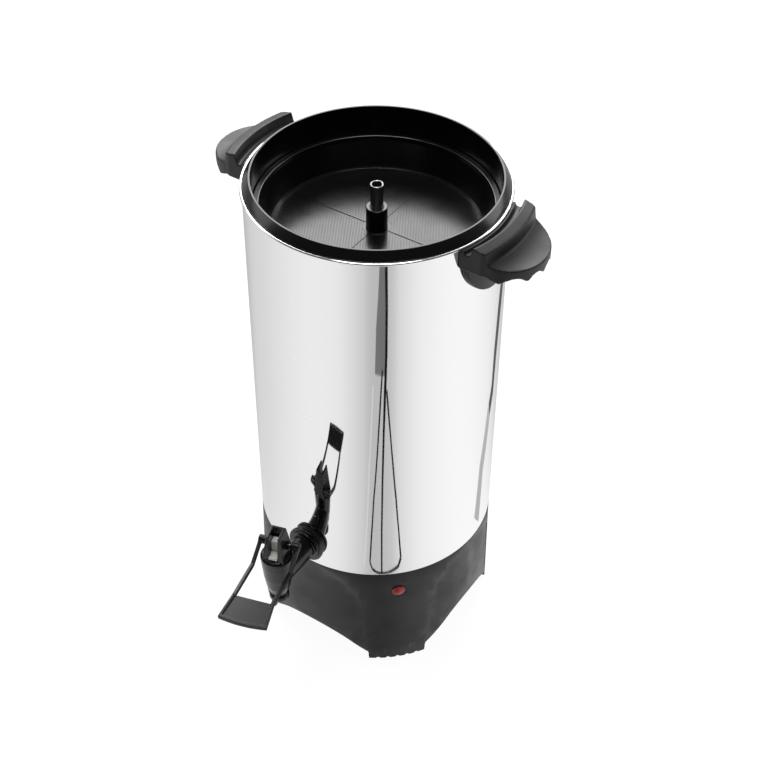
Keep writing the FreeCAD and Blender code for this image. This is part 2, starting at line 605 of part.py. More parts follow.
def clip_outline():
    """Strap bent round the warming element, its two feet flat against the floor pan."""
    reach = "(ring_tube_radius + clip_gap)"
    low = "ring_height - ring_tube_radius - clip_gap"
    return [
        (f"ring_radius - {reach} - clip_sheet - clip_foot", "floor_under"),
        (f"ring_radius - {reach} - clip_sheet - clip_foot", "floor_under - clip_sheet"),
        (f"ring_radius - {reach} - clip_sheet", "floor_under - clip_sheet"),
        (f"ring_radius - {reach} - clip_sheet", f"{low} - clip_sheet"),
        (f"ring_radius + {reach} + clip_sheet", f"{low} - clip_sheet"),
        (f"ring_radius + {reach} + clip_sheet", "floor_under - clip_sheet"),
        (f"ring_radius + {reach} + clip_sheet + clip_foot", "floor_under - clip_sheet"),
        (f"ring_radius + {reach} + clip_sheet + clip_foot", "floor_under"),
        (f"ring_radius + {reach}", "floor_under"), (f"ring_radius + {reach}", low),
        (f"ring_radius - {reach}", low), (f"ring_radius - {reach}", "floor_under"),
    ]


def sensor():
    """Thermostat and thermal fuse against the underside of the floor pan."""
    can = cylinder("thermostat_can", "thermostat_radius", "thermostat_height",
                   ("thermostat_place", "0", "floor_under - thermostat_height"))
    tabs = []
    for side in (1, -1):
        tabs.append(box(f"thermostat_tab_{len(tabs) + 1}", "tab_sheet", "tab_width", "tab_length",
                        centre_x=f"thermostat_place + {side} * thermostat_radius / 2", y="-tab_width / 2",
                        z="floor_under - thermostat_height - tab_length"))
    node("thermostat", fuse("thermostat_with_tabs", can, *tabs))
    fuse_spot = ("-fuse_place", "-fuse_length / 2", "floor_under - fuse_radius - crimp_gap")
    node("thermal_fuse", cylinder("fuse_can", "fuse_radius", "fuse_length", fuse_spot, (0, 1, 0)))


def lamp():
    dome_round = "(lens_radius^2 + lens_dome^2) / (2 * lens_dome)"
    node("indicator_lens", on_lamp(turned("lens_turned", [
        ("lens_bore", "lens_seat - lens_stem_length"), ("lens_stem_radius", "lens_seat - lens_stem_length"),
        ("lens_stem_radius", "lens_seat"), ("lens_radius", "lens_seat"),
        ("lens_radius", "lens_seat + lens_edge"),
        ("0", "lens_seat + lens_edge + lens_dome", dome_round, "right"),
        ("0", "lens_seat - lens_stem_length + lens_bore_depth"),
        ("lens_bore", "lens_seat - lens_stem_length + lens_bore_depth"),
    ])))
    clip_bore = "lens_stem_radius + crimp_gap"
    clip_back = "skirt_bore - slip_gap"
    clip_face = f"{clip_back} - lens_clip_thickness"
    node("lens_clip", on_lamp(turned("lens_clip_turned", [
        (clip_bore, clip_face), ("lens_clip_radius", clip_face), ("lens_clip_radius", clip_back),
        (clip_bore, clip_back),
    ])))
    lamp_tip = "lens_seat - lens_stem_length + lens_bore_depth - slip_gap"
    bulb = lamp_tool("lamp_bulb", "lamp_radius", f"({lamp_tip} - lamp_length)", "lamp_length")
    node("indicator_lamp", bulb)


def inlet():
    """Snap-in appliance inlet whose flange hugs the skirt, with two round pins in a shroud."""
    flange = box("inlet_flange_block", "inlet_width", "inlet_flange * 3", "inlet_depth",
                 y="inlet_face - inlet_flange * 3", z="inlet_height - inlet_depth / 2")
    core = cylinder("inlet_flange_core", "shell_radius", "inlet_depth * 2",
                    ("0", "0", "inlet_height - inlet_depth"))
    shroud = box("inlet_shroud", "shroud_width", "shroud_length", "shroud_height",
                 y="inlet_face - shroud_length", z="inlet_height - shroud_height / 2")
    snaps = []
    for side in (1, -1):
        snaps.append(box(f"inlet_snap_{len(snaps) + 1}", "snap_width", "snap_length", "snap_height * 2",
                         y="skirt_bore - slip_gap - snap_length",
                         z=f"inlet_height + {side} * shroud_height / 2 - snap_height"))
    pocket = box("inlet_pocket", "shroud_width - 2 * shroud_wall", "shroud_length",
                 "shroud_height - 2 * shroud_wall", y="inlet_face - shroud_length + shroud_floor",
                 z="inlet_height - shroud_height / 2 + shroud_wall")
    solid = fuse("inlet_solid", cut("inlet_flange_curved", flange, core), shroud, *snaps)
    pins = []
    holes = []
    for side in (1, -1):
        spot = (f"{side} * pin_spacing / 2", "inlet_face - shroud_length - shroud_floor", "inlet_height")
        name = f"inlet_pin_{len(pins) + 1}"
        pins.append(cylinder(name, "pin_radius", "pin_length", spot, (0, 1, 0)))
        holes.append(cylinder(name + "_hole", "pin_radius + thread_gap", "pin_length", spot, (0, 1, 0)))
    node("inlet_housing", cut("inlet_hollow", solid, pocket, *holes))
    node("inlet_pins", group("inlet_pin_group", *pins))


def handle(name, turn):
    """Moulded handle: a plate against the shell, a slot for the lid's lugs, a raised wall and a
    dished grip with finger scallops below."""
    outer = "grip_reach + overcut"
    bead_relief = "bead_centre + bead_radius + slip_gap"
    relief_foot = "bead_height - bead_radius - slip_gap"
    section = turned(name + "_section", [
        ("handle_inner", "shell_top - grip_underside"), ("handle_inner", relief_foot),
        (bead_relief, relief_foot), (bead_relief, "bead_height"),
        ("handle_inner + handle_plate", "bead_height"),
        ("handle_inner + handle_plate + bead_radius", "shell_top - handle_lug_floor"),
        ("handle_wall_inner - handle_wall_fall", "shell_top - handle_lug_floor"),
        ("handle_wall_inner", "shell_top + handle_wall_rise"),
        ("handle_wall_outer", "shell_top + handle_wall_rise - handle_wall_fall"),
        ("handle_wall_outer + bead_radius", "shell_top - grip_shelf"),
        (outer, "shell_top - grip_tip_drop", "grip_dish_radius", "right"),
        (outer, "shell_top - grip_ridge_drop"),
        ("handle_wall_outer + 2 * scallop_depth", "shell_top - grip_ridge_drop"),
        ("handle_wall_outer", "shell_top - grip_underside"),
    ], sweep="60")
    end_rise = "(grip_reach - handle_wall_end)"
    round_end = f"({end_rise}^2 + handle_end_half_width^2) / (2 * {end_rise})"
    plan = prism(name + "_plan", "XY_Plane", [
        ("shell_radius / 2", "-handle_half_width"), ("handle_wall_inner", "-handle_half_width"),
        ("handle_wall_end", "-handle_end_half_width"), ("grip_reach", "0", round_end, "right"),
        ("handle_wall_end", "handle_end_half_width", round_end, "right"),
        ("handle_wall_inner", "handle_half_width"), ("shell_radius / 2", "handle_half_width"),
    ], "2 * shell_top + 4 * collar_rise")
    ring = turned(name + "_tongue_ring", [
        ("handle_inner", "shell_top - tongue_drop - overcut"),
        ("handle_inner + tongue_thickness", "shell_top - tongue_drop - overcut"),
        ("handle_inner + tongue_thickness", "shell_top - grip_underside + overcut"),
        ("handle_inner", "shell_top - grip_underside + overcut"),
    ], sweep="60")
    spring_line = "shell_top - tongue_drop + tongue_radius"
    tongue = prism(name + "_tongue_outline", "YZ_Plane", [
        ("-tongue_radius", "shell_top"), ("-tongue_radius", spring_line),
        ("0", "shell_top - tongue_drop", "tongue_radius", "right"),
        ("tongue_radius", spring_line, "tongue_radius", "right"), ("tongue_radius", "shell_top"),
    ], "4 * shell_radius")
    body = fuse(name + "_body", common(name + "_grip", section, plan), common(name + "_tongue", ring, tongue))
    cuts = []
    for index in range(int(number("scallop_count"))):
        offset = f"({index} - (scallop_count - 1) / 2) * scallop_pitch"
        spot = ("handle_inner + tongue_thickness + overcut", offset,
                "shell_top - grip_ridge_drop - scallop_radius + scallop_depth")
        cuts.append(cylinder(f"{name}_scallop_{index + 1}", "scallop_radius", "shell_radius / 2",
                             spot, (1, 0, 0)))
    for side in (1, -1):
        spot = ("screw_seat / 2", f"{side} * handle_screw_spread", "handle_screw_height")
        cuts.append(cylinder(f"{name}_screw_hole_{side + 1}", "screw_radius + thread_gap",
                             "screw_seat / 2 + screw_length + screw_gap * 2", spot, (1, 0, 0)))
    node(name, spin(cut(name + "_cut", body, *cuts), turn))


def handle_screws():
    screws = []
    for side in (1, -1):
        for place in (1, -1):
            name = f"handle_screw_{len(screws) + 1}"
            seat = (f"{side} * screw_seat", f"{place} * handle_screw_spread", "handle_screw_height")
            shank = cylinder(name + "_shank", "screw_radius", "screw_length", seat, (side, 0, 0))
            head = cylinder(name + "_head", "screw_head_radius", "screw_head_height", seat, (-side, 0, 0))
            screws.append(fuse(name, shank, head))
    node("handle_screws", group("handle_screw_group", *screws))


def faucet_body():
    """Moulded faucet: threaded stub, flange and shank, a rounded cup and its ringed nozzle."""
    stub_end = "shell_radius - stub_length + flange_gap"
    flange_face = "flange_back + flange_thickness"
    boss_face = f"{flange_face} + flange_boss_thickness"
    shank = on_shank(turned("shank_turned", [
        ("0", stub_end), ("stub_radius", stub_end), ("stub_radius", "flange_back"),
        ("flange_radius", "flange_back"), ("flange_radius", flange_face),
        ("flange_boss_radius", flange_face), ("flange_boss_radius", boss_face), ("shank_radius", boss_face),
        ("shank_radius", "valve_y - overcut"), ("0", "valve_y - overcut"),
    ]))
    cup = on_valve(turned("cup_turned", [
        ("0", "nozzle_foot"), ("nozzle_radius", "nozzle_foot"), ("nozzle_radius", "ring_top"),
        ("neck_radius", "ring_top + neck_rise"),
        ("hip_radius", "ring_top + neck_rise + hip_height"),
        ("waist_radius", "ring_top + neck_rise + waist_height"), ("cup_radius", "cup_top"),
        ("0", "cup_top"),
    ]))
    chamber = on_valve(turned("chamber_tool", [
        ("0", "nozzle_foot - overcut"), ("outlet_bore", "nozzle_foot - overcut"),
        ("outlet_bore", "seat_foot"), ("chamber_radius", "seat_foot + seat_cone"),
        ("chamber_radius", "cup_top + overcut"), ("0", "cup_top + overcut"),
    ]))
    bore = cylinder("water_way", "water_bore", "valve_y - shell_radius + stub_length + overcut",
                    ("0", "-(shell_radius - stub_length - overcut)", "faucet_height"), (0, -1, 0))
    node("faucet_body", cut("faucet_cut", fuse("faucet_solid", shank, cup), chamber, bore))


def faucet_seals():
    core_spot = ("0", "0", "faucet_height - gasket_radius - overcut")
    core_height = "2 * gasket_radius + 2 * overcut"
    core = cylinder("gasket_core", "shell_radius + thread_gap", core_height, core_spot)
    disc = on_shank(turned("gasket_disc", [
        ("shell_hole_radius", "flange_back"), ("shell_hole_radius", "shell_radius - 3 * flange_gap"),
        ("gasket_radius", "shell_radius - 3 * flange_gap"), ("gasket_radius", "flange_back"),
    ]))
    node("faucet_gasket", cut("gasket_curved", disc, core))
    inside = cylinder("seal_core", "shell_bore - thread_gap", core_height, core_spot)
    nut_face = "shell_bore - seal_thickness"
    ring = on_shank(turned("seal_ring", [
        ("stub_radius + crimp_gap", nut_face), ("seal_radius", nut_face),
        ("seal_radius", "shell_radius"), ("stub_radius + crimp_gap", "shell_radius"),
    ]))
    node("inner_seal", common("seal_curved", ring, inside))
    nut = hex_nut("shank_hex", "shank_nut_radius", "shank_nut_height", "stub_radius + thread_gap", "0")
    node("shank_nut", move(nut, ("0", f"-({nut_face} - shank_nut_height)", "faucet_height"), TO_FRONT))


def bonnet():
    """Cap of the valve with a tapered square hood, slotted for the stem and closed at the back."""
    cap = turned("bonnet_turned", [
        ("0", "plug_foot"), ("chamber_radius - plug_gap", "plug_foot"),
        ("chamber_radius - plug_gap", "cup_top"), ("cup_radius + plug_gap", "cup_top"),
        ("bonnet_radius", "cup_top + bonnet_radius / 4"), ("bonnet_radius", "hood_foot - overcut"),
        ("bonnet_radius - overcut", "hood_foot"), ("0", "hood_foot"),
    ])
    hood_start = "hood_foot - overcut / 2"
    front_view = prism("hood_front_view", "XZ_Plane", [
        ("-hood_foot_half_width", hood_start), ("-hood_top_half_width", "hood_top"),
        ("hood_top_half_width", "hood_top"), ("hood_foot_half_width", hood_start),
    ], "4 * bonnet_radius")
    side_view = prism("hood_side_view", "YZ_Plane", [
        ("-hood_front", hood_start), ("-hood_top_front", "hood_top"), ("hood_top_back", "hood_top"),
        ("hood_back", hood_start),
    ], "4 * bonnet_radius")
    solid = fuse("bonnet_solid", cap, common("hood_block", front_view, side_view))
    slot_length = "bonnet_radius + overcut + hood_top_back - hood_back_wall"
    slot = box("bonnet_slot", "2 * slot_half_width", slot_length, "hood_height",
               y="-(bonnet_radius + overcut)", z="slot_floor")
    cam_room = box("cam_room", "2 * slot_half_width", "pivot_back + cam_hub_radius + cam_gap",
                   "pivot_height + cam_hub_radius + cam_gap - slot_floor", z="slot_floor")
    pivot = cylinder("bonnet_pivot", "pivot_pin_radius + running_gap", "4 * bonnet_radius",
                     ("-2 * bonnet_radius", "pivot_back", "pivot_height"), (1, 0, 0))
    stem_bore = cylinder("bonnet_stem_bore", "stem_radius + stem_gap", "slot_floor - plug_foot + overcut",
                         ("0", "0", "plug_foot"))
    seats = []
    for side in (1, -1):
        spot = (f"{side} * (lever_boss_inner - slip_gap)", "pivot_back", "pivot_height")
        seats.append(cylinder(f"boss_seat_{len(seats) + 1}", "lever_boss_radius + slip_gap", "bonnet_radius",
                              spot, (side, 0, 0)))
    node("bonnet", on_head(cut("bonnet_cut", solid, stem_bore, slot, cam_room, pivot, *seats)))


def valve():
    rod = cylinder("stem_rod", "stem_radius", "head_foot + head_slab / 2 - seat_cup_top + seat_cup_socket",
                   ("0", "0", "seat_cup_top - seat_cup_socket"))
    groove_foot = "pivot_height - groove_height / 2"
    groove_head = "pivot_height + groove_height / 2"
    groove_wall = "head_back - groove_depth"
    head = prism("stem_head", "YZ_Plane", [
        ("-head_front", "head_foot"), ("-head_front", "head_foot + head_slab"),
        ("-head_block_front", "head_foot + head_slab"), ("-head_block_front", "head_foot + head_height"),
        ("head_back", "head_foot + head_height"), ("head_back", groove_head), (groove_wall, groove_head),
        (groove_wall, groove_foot), ("head_back", groove_foot), ("head_back", "head_foot"),
    ], "2 * (slot_half_width - head_gap)")
    node("valve_stem", on_head(fuse("stem_fused", rod, head)))
    socket_floor = "seat_cup_top - seat_cup_socket"
    node("seat_cup", on_valve(turned("seat_cup_turned", [
        ("0", "seat_cup_foot"), ("seat_cup_bottom_radius", "seat_cup_foot"),
        ("seat_cup_radius", "seat_cup_foot + seat_cup_height / 2"), ("seat_cup_radius", "seat_cup_top"),
        ("stem_radius + thread_gap", "seat_cup_top"), ("stem_radius + thread_gap", socket_floor),
        ("0", socket_floor),
    ])))
    node("valve_spring", on_valve(coil_spring()))


def coil_spring():
    """Closing spring: one wire in quarter-turn arcs from the seat cup up to the bonnet."""
    foot = number("seat_cup_top + spring_gap + spring_wire")
    head = number("plug_foot - spring_gap - spring_wire")
    turns = int(number("spring_turns"))
    radius = number("spring_radius")
    wire = number("spring_wire")

    def point(quarters):
        angle = quarters * math.pi / 2
        height = foot + (head - foot) * quarters / (4 * turns)
        return FreeCAD.Vector(radius * math.cos(angle), radius * math.sin(angle), height)

    arcs = []
    for quarter in range(4 * turns):
        arcs.append(Part.Arc(point(quarter), point(quarter + 0.5), point(quarter + 1)).toShape())
    path = Part.Wire(arcs)
    start = Part.Wire(Part.Circle(point(0), arcs[0].tangentAt(arcs[0].FirstParameter), wire).toShape())
    coil = path.makePipeShell([start], True, False)
    pitch = (head - foot) / turns
    print(f"spring: {turns} turns, least gap {pitch - 2 * wire:.2f} mm")
    spring = doc.addObject("Part::Feature", "spring_coil")
    spring.Shape = coil
    return spring


def bar(name, start, end):
    """Straight stretch of one lever arm between two (forward, height) places, for both sides."""
    near = FreeCAD.Vector(0, -number(start[0]), number(start[1]))
    far = FreeCAD.Vector(0, -number(end[0]), number(end[1]))
    way = far - near
    piece = doc.addObject("Part::Box", name)
    bind(piece, "Length", "2 * arm_outer")
    bind(piece, "Width", "2 * arm_half_height")
    piece.Height = way.Length
    bind(piece, "Height", f"sqrt((({end[0]}) - ({start[0]}))^2 + (({end[1]}) - ({start[1]}))^2)")
    tilt = FreeCAD.Rotation(FreeCAD.Vector(0, 0, 1), way)
    corner = near - tilt.multVec(FreeCAD.Vector(number("arm_outer"), number("arm_half_height"), 0))
    piece.Placement = FreeCAD.Placement(corner, tilt)
    return piece


def lever():
    """Forked lever: two bent arms from the pivot behind the stem out to a wide, slightly sunk pad."""
    knots = [("-pivot_back", "pivot_height"), ("knee_forward", "pivot_height - knee_drop"),
             ("pad_forward", "pivot_height - pad_drop")]
    pieces = []
    for index, (start, end) in enumerate(zip(knots, knots[1:]), start=1):
        pieces.append(bar(f"arm_bar_{index}", start, end))
        pieces.append(cylinder(f"arm_knuckle_{index}", "arm_half_height", "2 * arm_outer",
                               ("-arm_outer", f"-({end[0]})", end[1]), (1, 0, 0)))
    gap = box("arm_gap", "2 * arm_inner", "2 * pad_forward", "4 * knee_drop",
              y="-3 / 2 * pad_forward", z="pivot_height - 2 * knee_drop")
    arms = cut("lever_arms", fuse("lever_bars", *pieces), gap)
    bosses = []
    for side in (1, -1):
        spot = (f"{side} * lever_boss_inner", "pivot_back", "pivot_height")
        bosses.append(cylinder(f"lever_boss_{len(bosses) + 1}", "lever_boss_radius",
                               "arm_outer - lever_boss_inner", spot, (side, 0, 0)))
    hole = cylinder("lever_pin_hole", "pivot_pin_radius + running_gap", "4 * arm_outer",
                    ("-2 * arm_outer", "pivot_back", "pivot_height"), (1, 0, 0))
    node("lever", on_head(cut("lever_cut", fuse("lever_fused", arms, press_pad(), *bosses), hole)))
    half = "(arm_outer - arm_thickness / 2)"
    shaft = cylinder("pin_shaft", "pivot_pin_radius", f"2 * {half}",
                     (f"-{half}", "pivot_back", "pivot_height"), (1, 0, 0))
    node("lever_pin", on_head(group("pin_on_head", shaft)))
    lift_cam()


def press_pad():
    """Flat pad across the ends of the arms, wider at its rounded front edge, with a raised rim."""
    pad = doc.addObject("PartDesign::Body", "press_pad")
    sag = "(pad_half_width^2 + pad_edge_sag^2) / (2 * pad_edge_sag)"
    plate_sketch = new_sketch(pad, "XY_Plane", "pad_outline", [
        ("-arm_outer", "0"), ("arm_outer", "0"), ("pad_half_width", "pad_length"),
        ("-pad_half_width", "pad_length", sag, "right"),
    ])
    plate = pad.newObject("PartDesign::Pad", "pad_plate")
    plate.Profile = plate_sketch
    bind(plate, "Length", "pad_thickness")
    inner_half = "(pad_half_width - pad_rim)"
    dish_sketch = new_sketch(pad, "XY_Plane", "dish_outline", [
        ("-(arm_outer - pad_rim)", "-overcut"), ("arm_outer - pad_rim", "-overcut"),
        (inner_half, "pad_length - pad_rim"), (f"-{inner_half}", "pad_length - pad_rim", sag, "right"),
    ])
    dish = pad.newObject("PartDesign::Pocket", "pad_dish")
    dish.Profile = dish_sketch
    dish.Reversed = True
    bind(dish, "Length", "pad_dish")
    pad.Tip = dish
    spot = ("0", "-pad_forward", "pivot_height - pad_drop + pad_thickness / 2")
    return move(pad, spot, FreeCAD.Rotation(FreeCAD.Vector(1, 0, 0), 180))


def lift_cam():
    """Cam keyed on the lever's pin inside the hood, its nose in the groove of the stem's head."""
    half = "(slot_half_width - head_gap)"
    hub = cylinder("cam_hub", "cam_hub_radius", f"2 * {half}",
                   (f"-{half}", "pivot_back", "pivot_height"), (1, 0, 0))
    tip = cylinder("cam_tip", "cam_tip_radius", f"2 * {half}",
                   (f"-{half}", "cam_tip_back", "pivot_height"), (1, 0, 0))
    neck = box("cam_neck_bar", f"2 * {half}", "pivot_back - cam_tip_back", "cam_neck",
               y="cam_tip_back", z="pivot_height - cam_neck / 2")
    hole = cylinder("cam_bore", "pivot_pin_radius + running_gap", f"4 * {half}",
                    (f"-2 * {half}", "pivot_back", "pivot_height"), (1, 0, 0))
    node("lift_cam", on_head(cut("cam_cut", fuse("cam_solid", hub, tip, neck), hole)))


def basket():
    """Coffee basket: a rim that rests on the collar's ledge, a wall that tapers to the floor ring,
    and the strainer on a spider of spokes whose sleeve slides on the stem tube."""
    ring_bore = "(basket_floor_radius - floor_ring_reach)"
    ring_under = "strainer_under - floor_ring_thickness"
    node("basket", turned("basket_wall_turned", [
        ("collar_bore - rim_gap", "ledge_top"), ("collar_bore - rim_gap", "rim_top"),
        ("basket_inner", "rim_top"), ("basket_inner", "rim_top - basket_shoulder"),
        ("basket_floor_radius", "strainer_top"), ("basket_floor_radius", "strainer_under"),
        (ring_bore, "strainer_under"), (ring_bore, ring_under),
        ("basket_floor_radius + basket_wall", ring_under),
        ("basket_outer", "rim_top - basket_shoulder - basket_wall / 2"), ("basket_outer", "ledge_top"),
    ]))
    spider_foot = "strainer_under - spoke_height"
    sleeve_top = "strainer_top + sleeve_rise"
    sleeve = turned("basket_sleeve", [
        ("tube_radius + sleeve_gap", spider_foot), ("sleeve_radius", spider_foot),
        ("sleeve_radius", sleeve_top), ("tube_radius + sleeve_gap", sleeve_top),
    ])
    root = "sleeve_radius - basket_wall"
    tip = f"{ring_bore} - spoke_tip_gap"
    spokes = []
    for index in range(int(number("spoke_count"))):
        spoke = prism(f"spoke_{index + 1}", "XZ_Plane", [
            (root, spider_foot), (tip, ring_under), (tip, "strainer_under"), (root, "strainer_under"),
        ], "spoke_width")
        spokes.append(spin(spoke, 360 / number("spoke_count") * index))
    node("basket_spider", fuse("spider_fused", sleeve, *spokes))
    node("basket_strainer", strainer())


def strainer():
    """Perforated disc of the basket, one face with rows of holes, as thick as its sheet."""
    foot = number("strainer_under")

    def ring(radius, x=0.0, y=0.0):
        return Part.Wire(Part.Circle(FreeCAD.Vector(x, y, foot), FreeCAD.Vector(0, 0, 1), radius).toShape())

    wires = [ring(number("basket_floor_radius - strainer_gap")), ring(number("sleeve_radius + strainer_gap"))]
    for row in range(int(number("hole_rows"))):
        reach = number(f"hole_first_row + {row} * hole_row_step")
        count = int(2 * math.pi * reach / number("hole_step"))
        for index in range(count):
            angle = 2 * math.pi * (index + 0.5 * (row % 2)) / count
            wires.append(ring(number("hole_radius"), reach * math.cos(angle), reach * math.sin(angle)))
    face = Part.Face(wires, "Part::FaceMakerBullseye")
    disc = doc.addObject("Part::Feature", "strainer_disc")
    disc.Shape = face.extrude(FreeCAD.Vector(0, 0, number("strainer_sheet")))
    print(f"strainer: {len(wires) - 2} holes")
    return disc


def pump():
    """Percolator stem: a long tube whose bead carries the basket when it is lifted, in a bell foot
    that stands in the well and holds a loose disc above its lip."""
    bead_round = "(stop_bead_half_height^2 + stop_bead_reach^2) / (2 * stop_bead_reach)"
    node("stem_tube", turned("tube_turned", [
        ("tube_radius - tube_wall", "tube_foot"), ("tube_radius", "tube_foot"),
        ("tube_radius", "stop_bead_top - 2 * stop_bead_half_height"),
        ("tube_radius", "stop_bead_top", bead_round, "right"), ("tube_radius", "tube_top"),
        ("tube_radius - tube_wall", "tube_top"),
    ]))
    cone_top = "well_top + foot_rim_height + foot_cone_height"
    bell = turned("bell_turned", [
        ("tube_radius + thread_gap", "tube_foot + foot_socket_height"),
        ("tube_radius + thread_gap", "tube_foot"),
        ("tube_radius - tube_wall", "tube_foot"), ("tube_radius - tube_wall", cone_top),
        ("foot_radius - foot_sheet", "well_top + foot_rim_height"),
        ("foot_radius - foot_sheet", "well_top + bell_lip_sheet"),
        ("bell_lip_radius", "well_top + bell_lip_sheet"),
        ("bell_lip_radius", "well_top"), ("foot_radius", "well_top"),
        ("foot_radius", "well_top + foot_rim_height + foot_sheet"),
        ("tube_radius + foot_socket_wall", f"{cone_top} + foot_sheet"),
        ("tube_radius + foot_socket_wall", "tube_foot + foot_socket_height"),
    ])
    across = "2 * foot_radius + 2 * overcut"
    notches = []
    for width, depth in (("inlet_notch_width", across), (across, "inlet_notch_width")):
        notches.append(box(f"water_notch_{len(notches) + 1}", width, depth, "inlet_notch_height + overcut",
                           y=f"-({depth}) / 2", z="well_top - overcut"))
    node("pump_foot", cut("bell_cut", bell, *notches))
    seat = "well_top + bell_lip_sheet + disc_gap"
    node("pump_disc", turned("disc_turned", [
        ("pump_disc_bore", seat), ("pump_disc_radius", seat),
        ("pump_disc_radius", f"{seat} + pump_disc_sheet"), ("pump_disc_bore", f"{seat} + pump_disc_sheet"),
    ]))


def write_parts():
    doc.recompute()
    for thing in doc.Objects:
        if {"Invalid", "Error"} & set(thing.State):
            raise RuntimeError(f"{thing.Name} failed: {thing.State}")
    os.makedirs("parts", exist_ok=True)
    for thing in NODES:
        shape = thing.Shape
        if shape.isNull() or not shape.isValid():
            raise RuntimeError(f"{thing.Label} has no valid shape")
    for thing in NODES:
        thing.Shape.exportStep(f"parts/{thing.Label}.step")
        box_of = thing.Shape.BoundBox
        print(f"{thing.Label}: {len(thing.Shape.Solids)} solid(s), {thing.Shape.Volume:.0f} mm3,"
              f" z {box_of.ZMin:.1f} to {box_of.ZMax:.1f}")


vessel()
collar()
base()
foot_pads()
bottom_cover()
heating()
lamp()
inlet()
handle("handle_right", 0)
handle("handle_left", 180)
handle_screws()
faucet_body()
faucet_seals()
bonnet()
valve()
lever()
basket()
pump()
write_parts()
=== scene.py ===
# %% [markdown]
# # A coffee urn, dressed in Blender
# The urn's solids come from a CAD frame that already has the right sizes and joints. This file
# gives them the looks of the real thing: a mirror-bright steel vessel, black mouldings and a tap.
# Every length below is written in millimetres and turned to metres by MM, because makers think
# in millimetres and Blender works in metres.

# %% Load the frame
import bmesh
import bpy
import math
from mathutils import Matrix, Vector


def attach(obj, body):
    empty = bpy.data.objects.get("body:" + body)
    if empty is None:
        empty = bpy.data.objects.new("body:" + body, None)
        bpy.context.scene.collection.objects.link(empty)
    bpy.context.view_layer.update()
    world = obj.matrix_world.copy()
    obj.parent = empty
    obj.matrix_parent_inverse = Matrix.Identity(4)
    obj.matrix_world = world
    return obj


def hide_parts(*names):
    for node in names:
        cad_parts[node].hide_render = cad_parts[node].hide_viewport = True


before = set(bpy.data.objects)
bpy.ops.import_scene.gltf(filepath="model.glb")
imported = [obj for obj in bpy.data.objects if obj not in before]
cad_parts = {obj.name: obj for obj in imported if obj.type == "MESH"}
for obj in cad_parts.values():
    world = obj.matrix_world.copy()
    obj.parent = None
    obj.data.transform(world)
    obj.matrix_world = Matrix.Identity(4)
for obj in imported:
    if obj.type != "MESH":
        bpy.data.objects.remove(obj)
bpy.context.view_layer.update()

MM = 0.001

# %% [markdown]
# ## Small tools for meshes
# Most pieces of an urn are turned: one outline spun round an axis. A drawn sheet or a moulding has
# no knife edges, so each outline corner can carry a small radius. The helper below trims the two
# sides of such a corner and lays a short curve between them. Done on the outline, this costs
# nothing and stays even all the way round, which a bevel on the finished mesh doesn't.

# %% Outlines with eased corners
def eased(corners, steps=4):
    """Closed outline from (radius, height) or (radius, height, corner radius), in millimetres."""
    points = []
    for index, corner in enumerate(corners):
        here = Vector(corner[:2])
        if len(corner) == 2:
            points.append(here)
            continue
        before = Vector(corners[index - 1][:2]) - here
        after = Vector(corners[(index + 1) % len(corners)][:2]) - here
        half = before.angle(after) / 2
        trim = min(corner[2] / math.tan(half), before.length * 0.48, after.length * 0.48)
        start = here + before.normalized() * trim
        end = here + after.normalized() * trim
        for step in range(steps + 1):
            t = step / steps
            points.append(start * (1 - t) ** 2 + here * 2 * t * (1 - t) + end * t ** 2)
    return [(point.x, point.y) for point in points]


# %% [markdown]
# A turned mesh is a stack of rings. Where the outline touches the axis, the ring shrinks to one
# point, so that the pole is closed and no sliver faces remain. Normals are worked out again after
# the doubles are merged, and edges sharper than 35 degrees stay crisp.

# %% Finish a mesh and hang it on a body
def finish_mesh(mesh, sharp=35):
    work = bmesh.new()
    work.from_mesh(mesh)
    bmesh.ops.remove_doubles(work, verts=work.verts, dist=1e-6)
    bmesh.ops.recalc_face_normals(work, faces=work.faces)
    work.to_mesh(mesh)
    work.free()
    mesh.shade_smooth()
    mesh.set_sharp_from_angle(angle=math.radians(sharp))
    return mesh


def piece(name, mesh, material, body, *nodes):
    """Link a finished mesh, let it ride on a body and stand for the CAD nodes that it replaces."""
    made = bpy.data.objects.new(name, mesh)
    bpy.context.scene.collection.objects.link(made)
    if not mesh.materials:
        mesh.materials.append(material)
    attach(made, body)
    if nodes:
        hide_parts(*nodes)
    print(f"{name}: {len(mesh.polygons)} faces")
    return made


def turned(outline, around=160, place=Matrix()):
    """Bmesh of a closed outline spun about Z, then set in its place."""
    work = bmesh.new()
    rings = []
    for radius, height in outline:
        if abs(radius) < 1e-4:
            rings.append([work.verts.new((0, 0, height * MM))])
            continue
        angles = [2 * math.pi * step / around for step in range(around)]
        rings.append([work.verts.new((radius * MM * math.cos(a), radius * MM * math.sin(a), height * MM))
                      for a in angles])
    for lower, upper in zip(rings, rings[1:] + rings[:1]):
        if len(lower) == len(upper) == 1:
            continue
        for step in range(around):
            ring = [lower[step % len(lower)], lower[(step + 1) % len(lower)],
                    upper[(step + 1) % len(upper)], upper[step % len(upper)]]
            work.faces.new(list(dict.fromkeys(ring)))
    bmesh.ops.transform(work, matrix=place, verts=work.verts)
    return work


def as_mesh(name, *parts, sharp=35):
    """One finished mesh from several bmeshes."""
    whole = bmesh.new()
    for part in parts:
        loose = bpy.data.meshes.new("loose")
        part.to_mesh(loose)
        part.free()
        whole.from_mesh(loose)
        bpy.data.meshes.remove(loose)
    mesh = bpy.data.meshes.new(name)
    whole.to_mesh(mesh)
    whole.free()
    return finish_mesh(mesh, sharp)


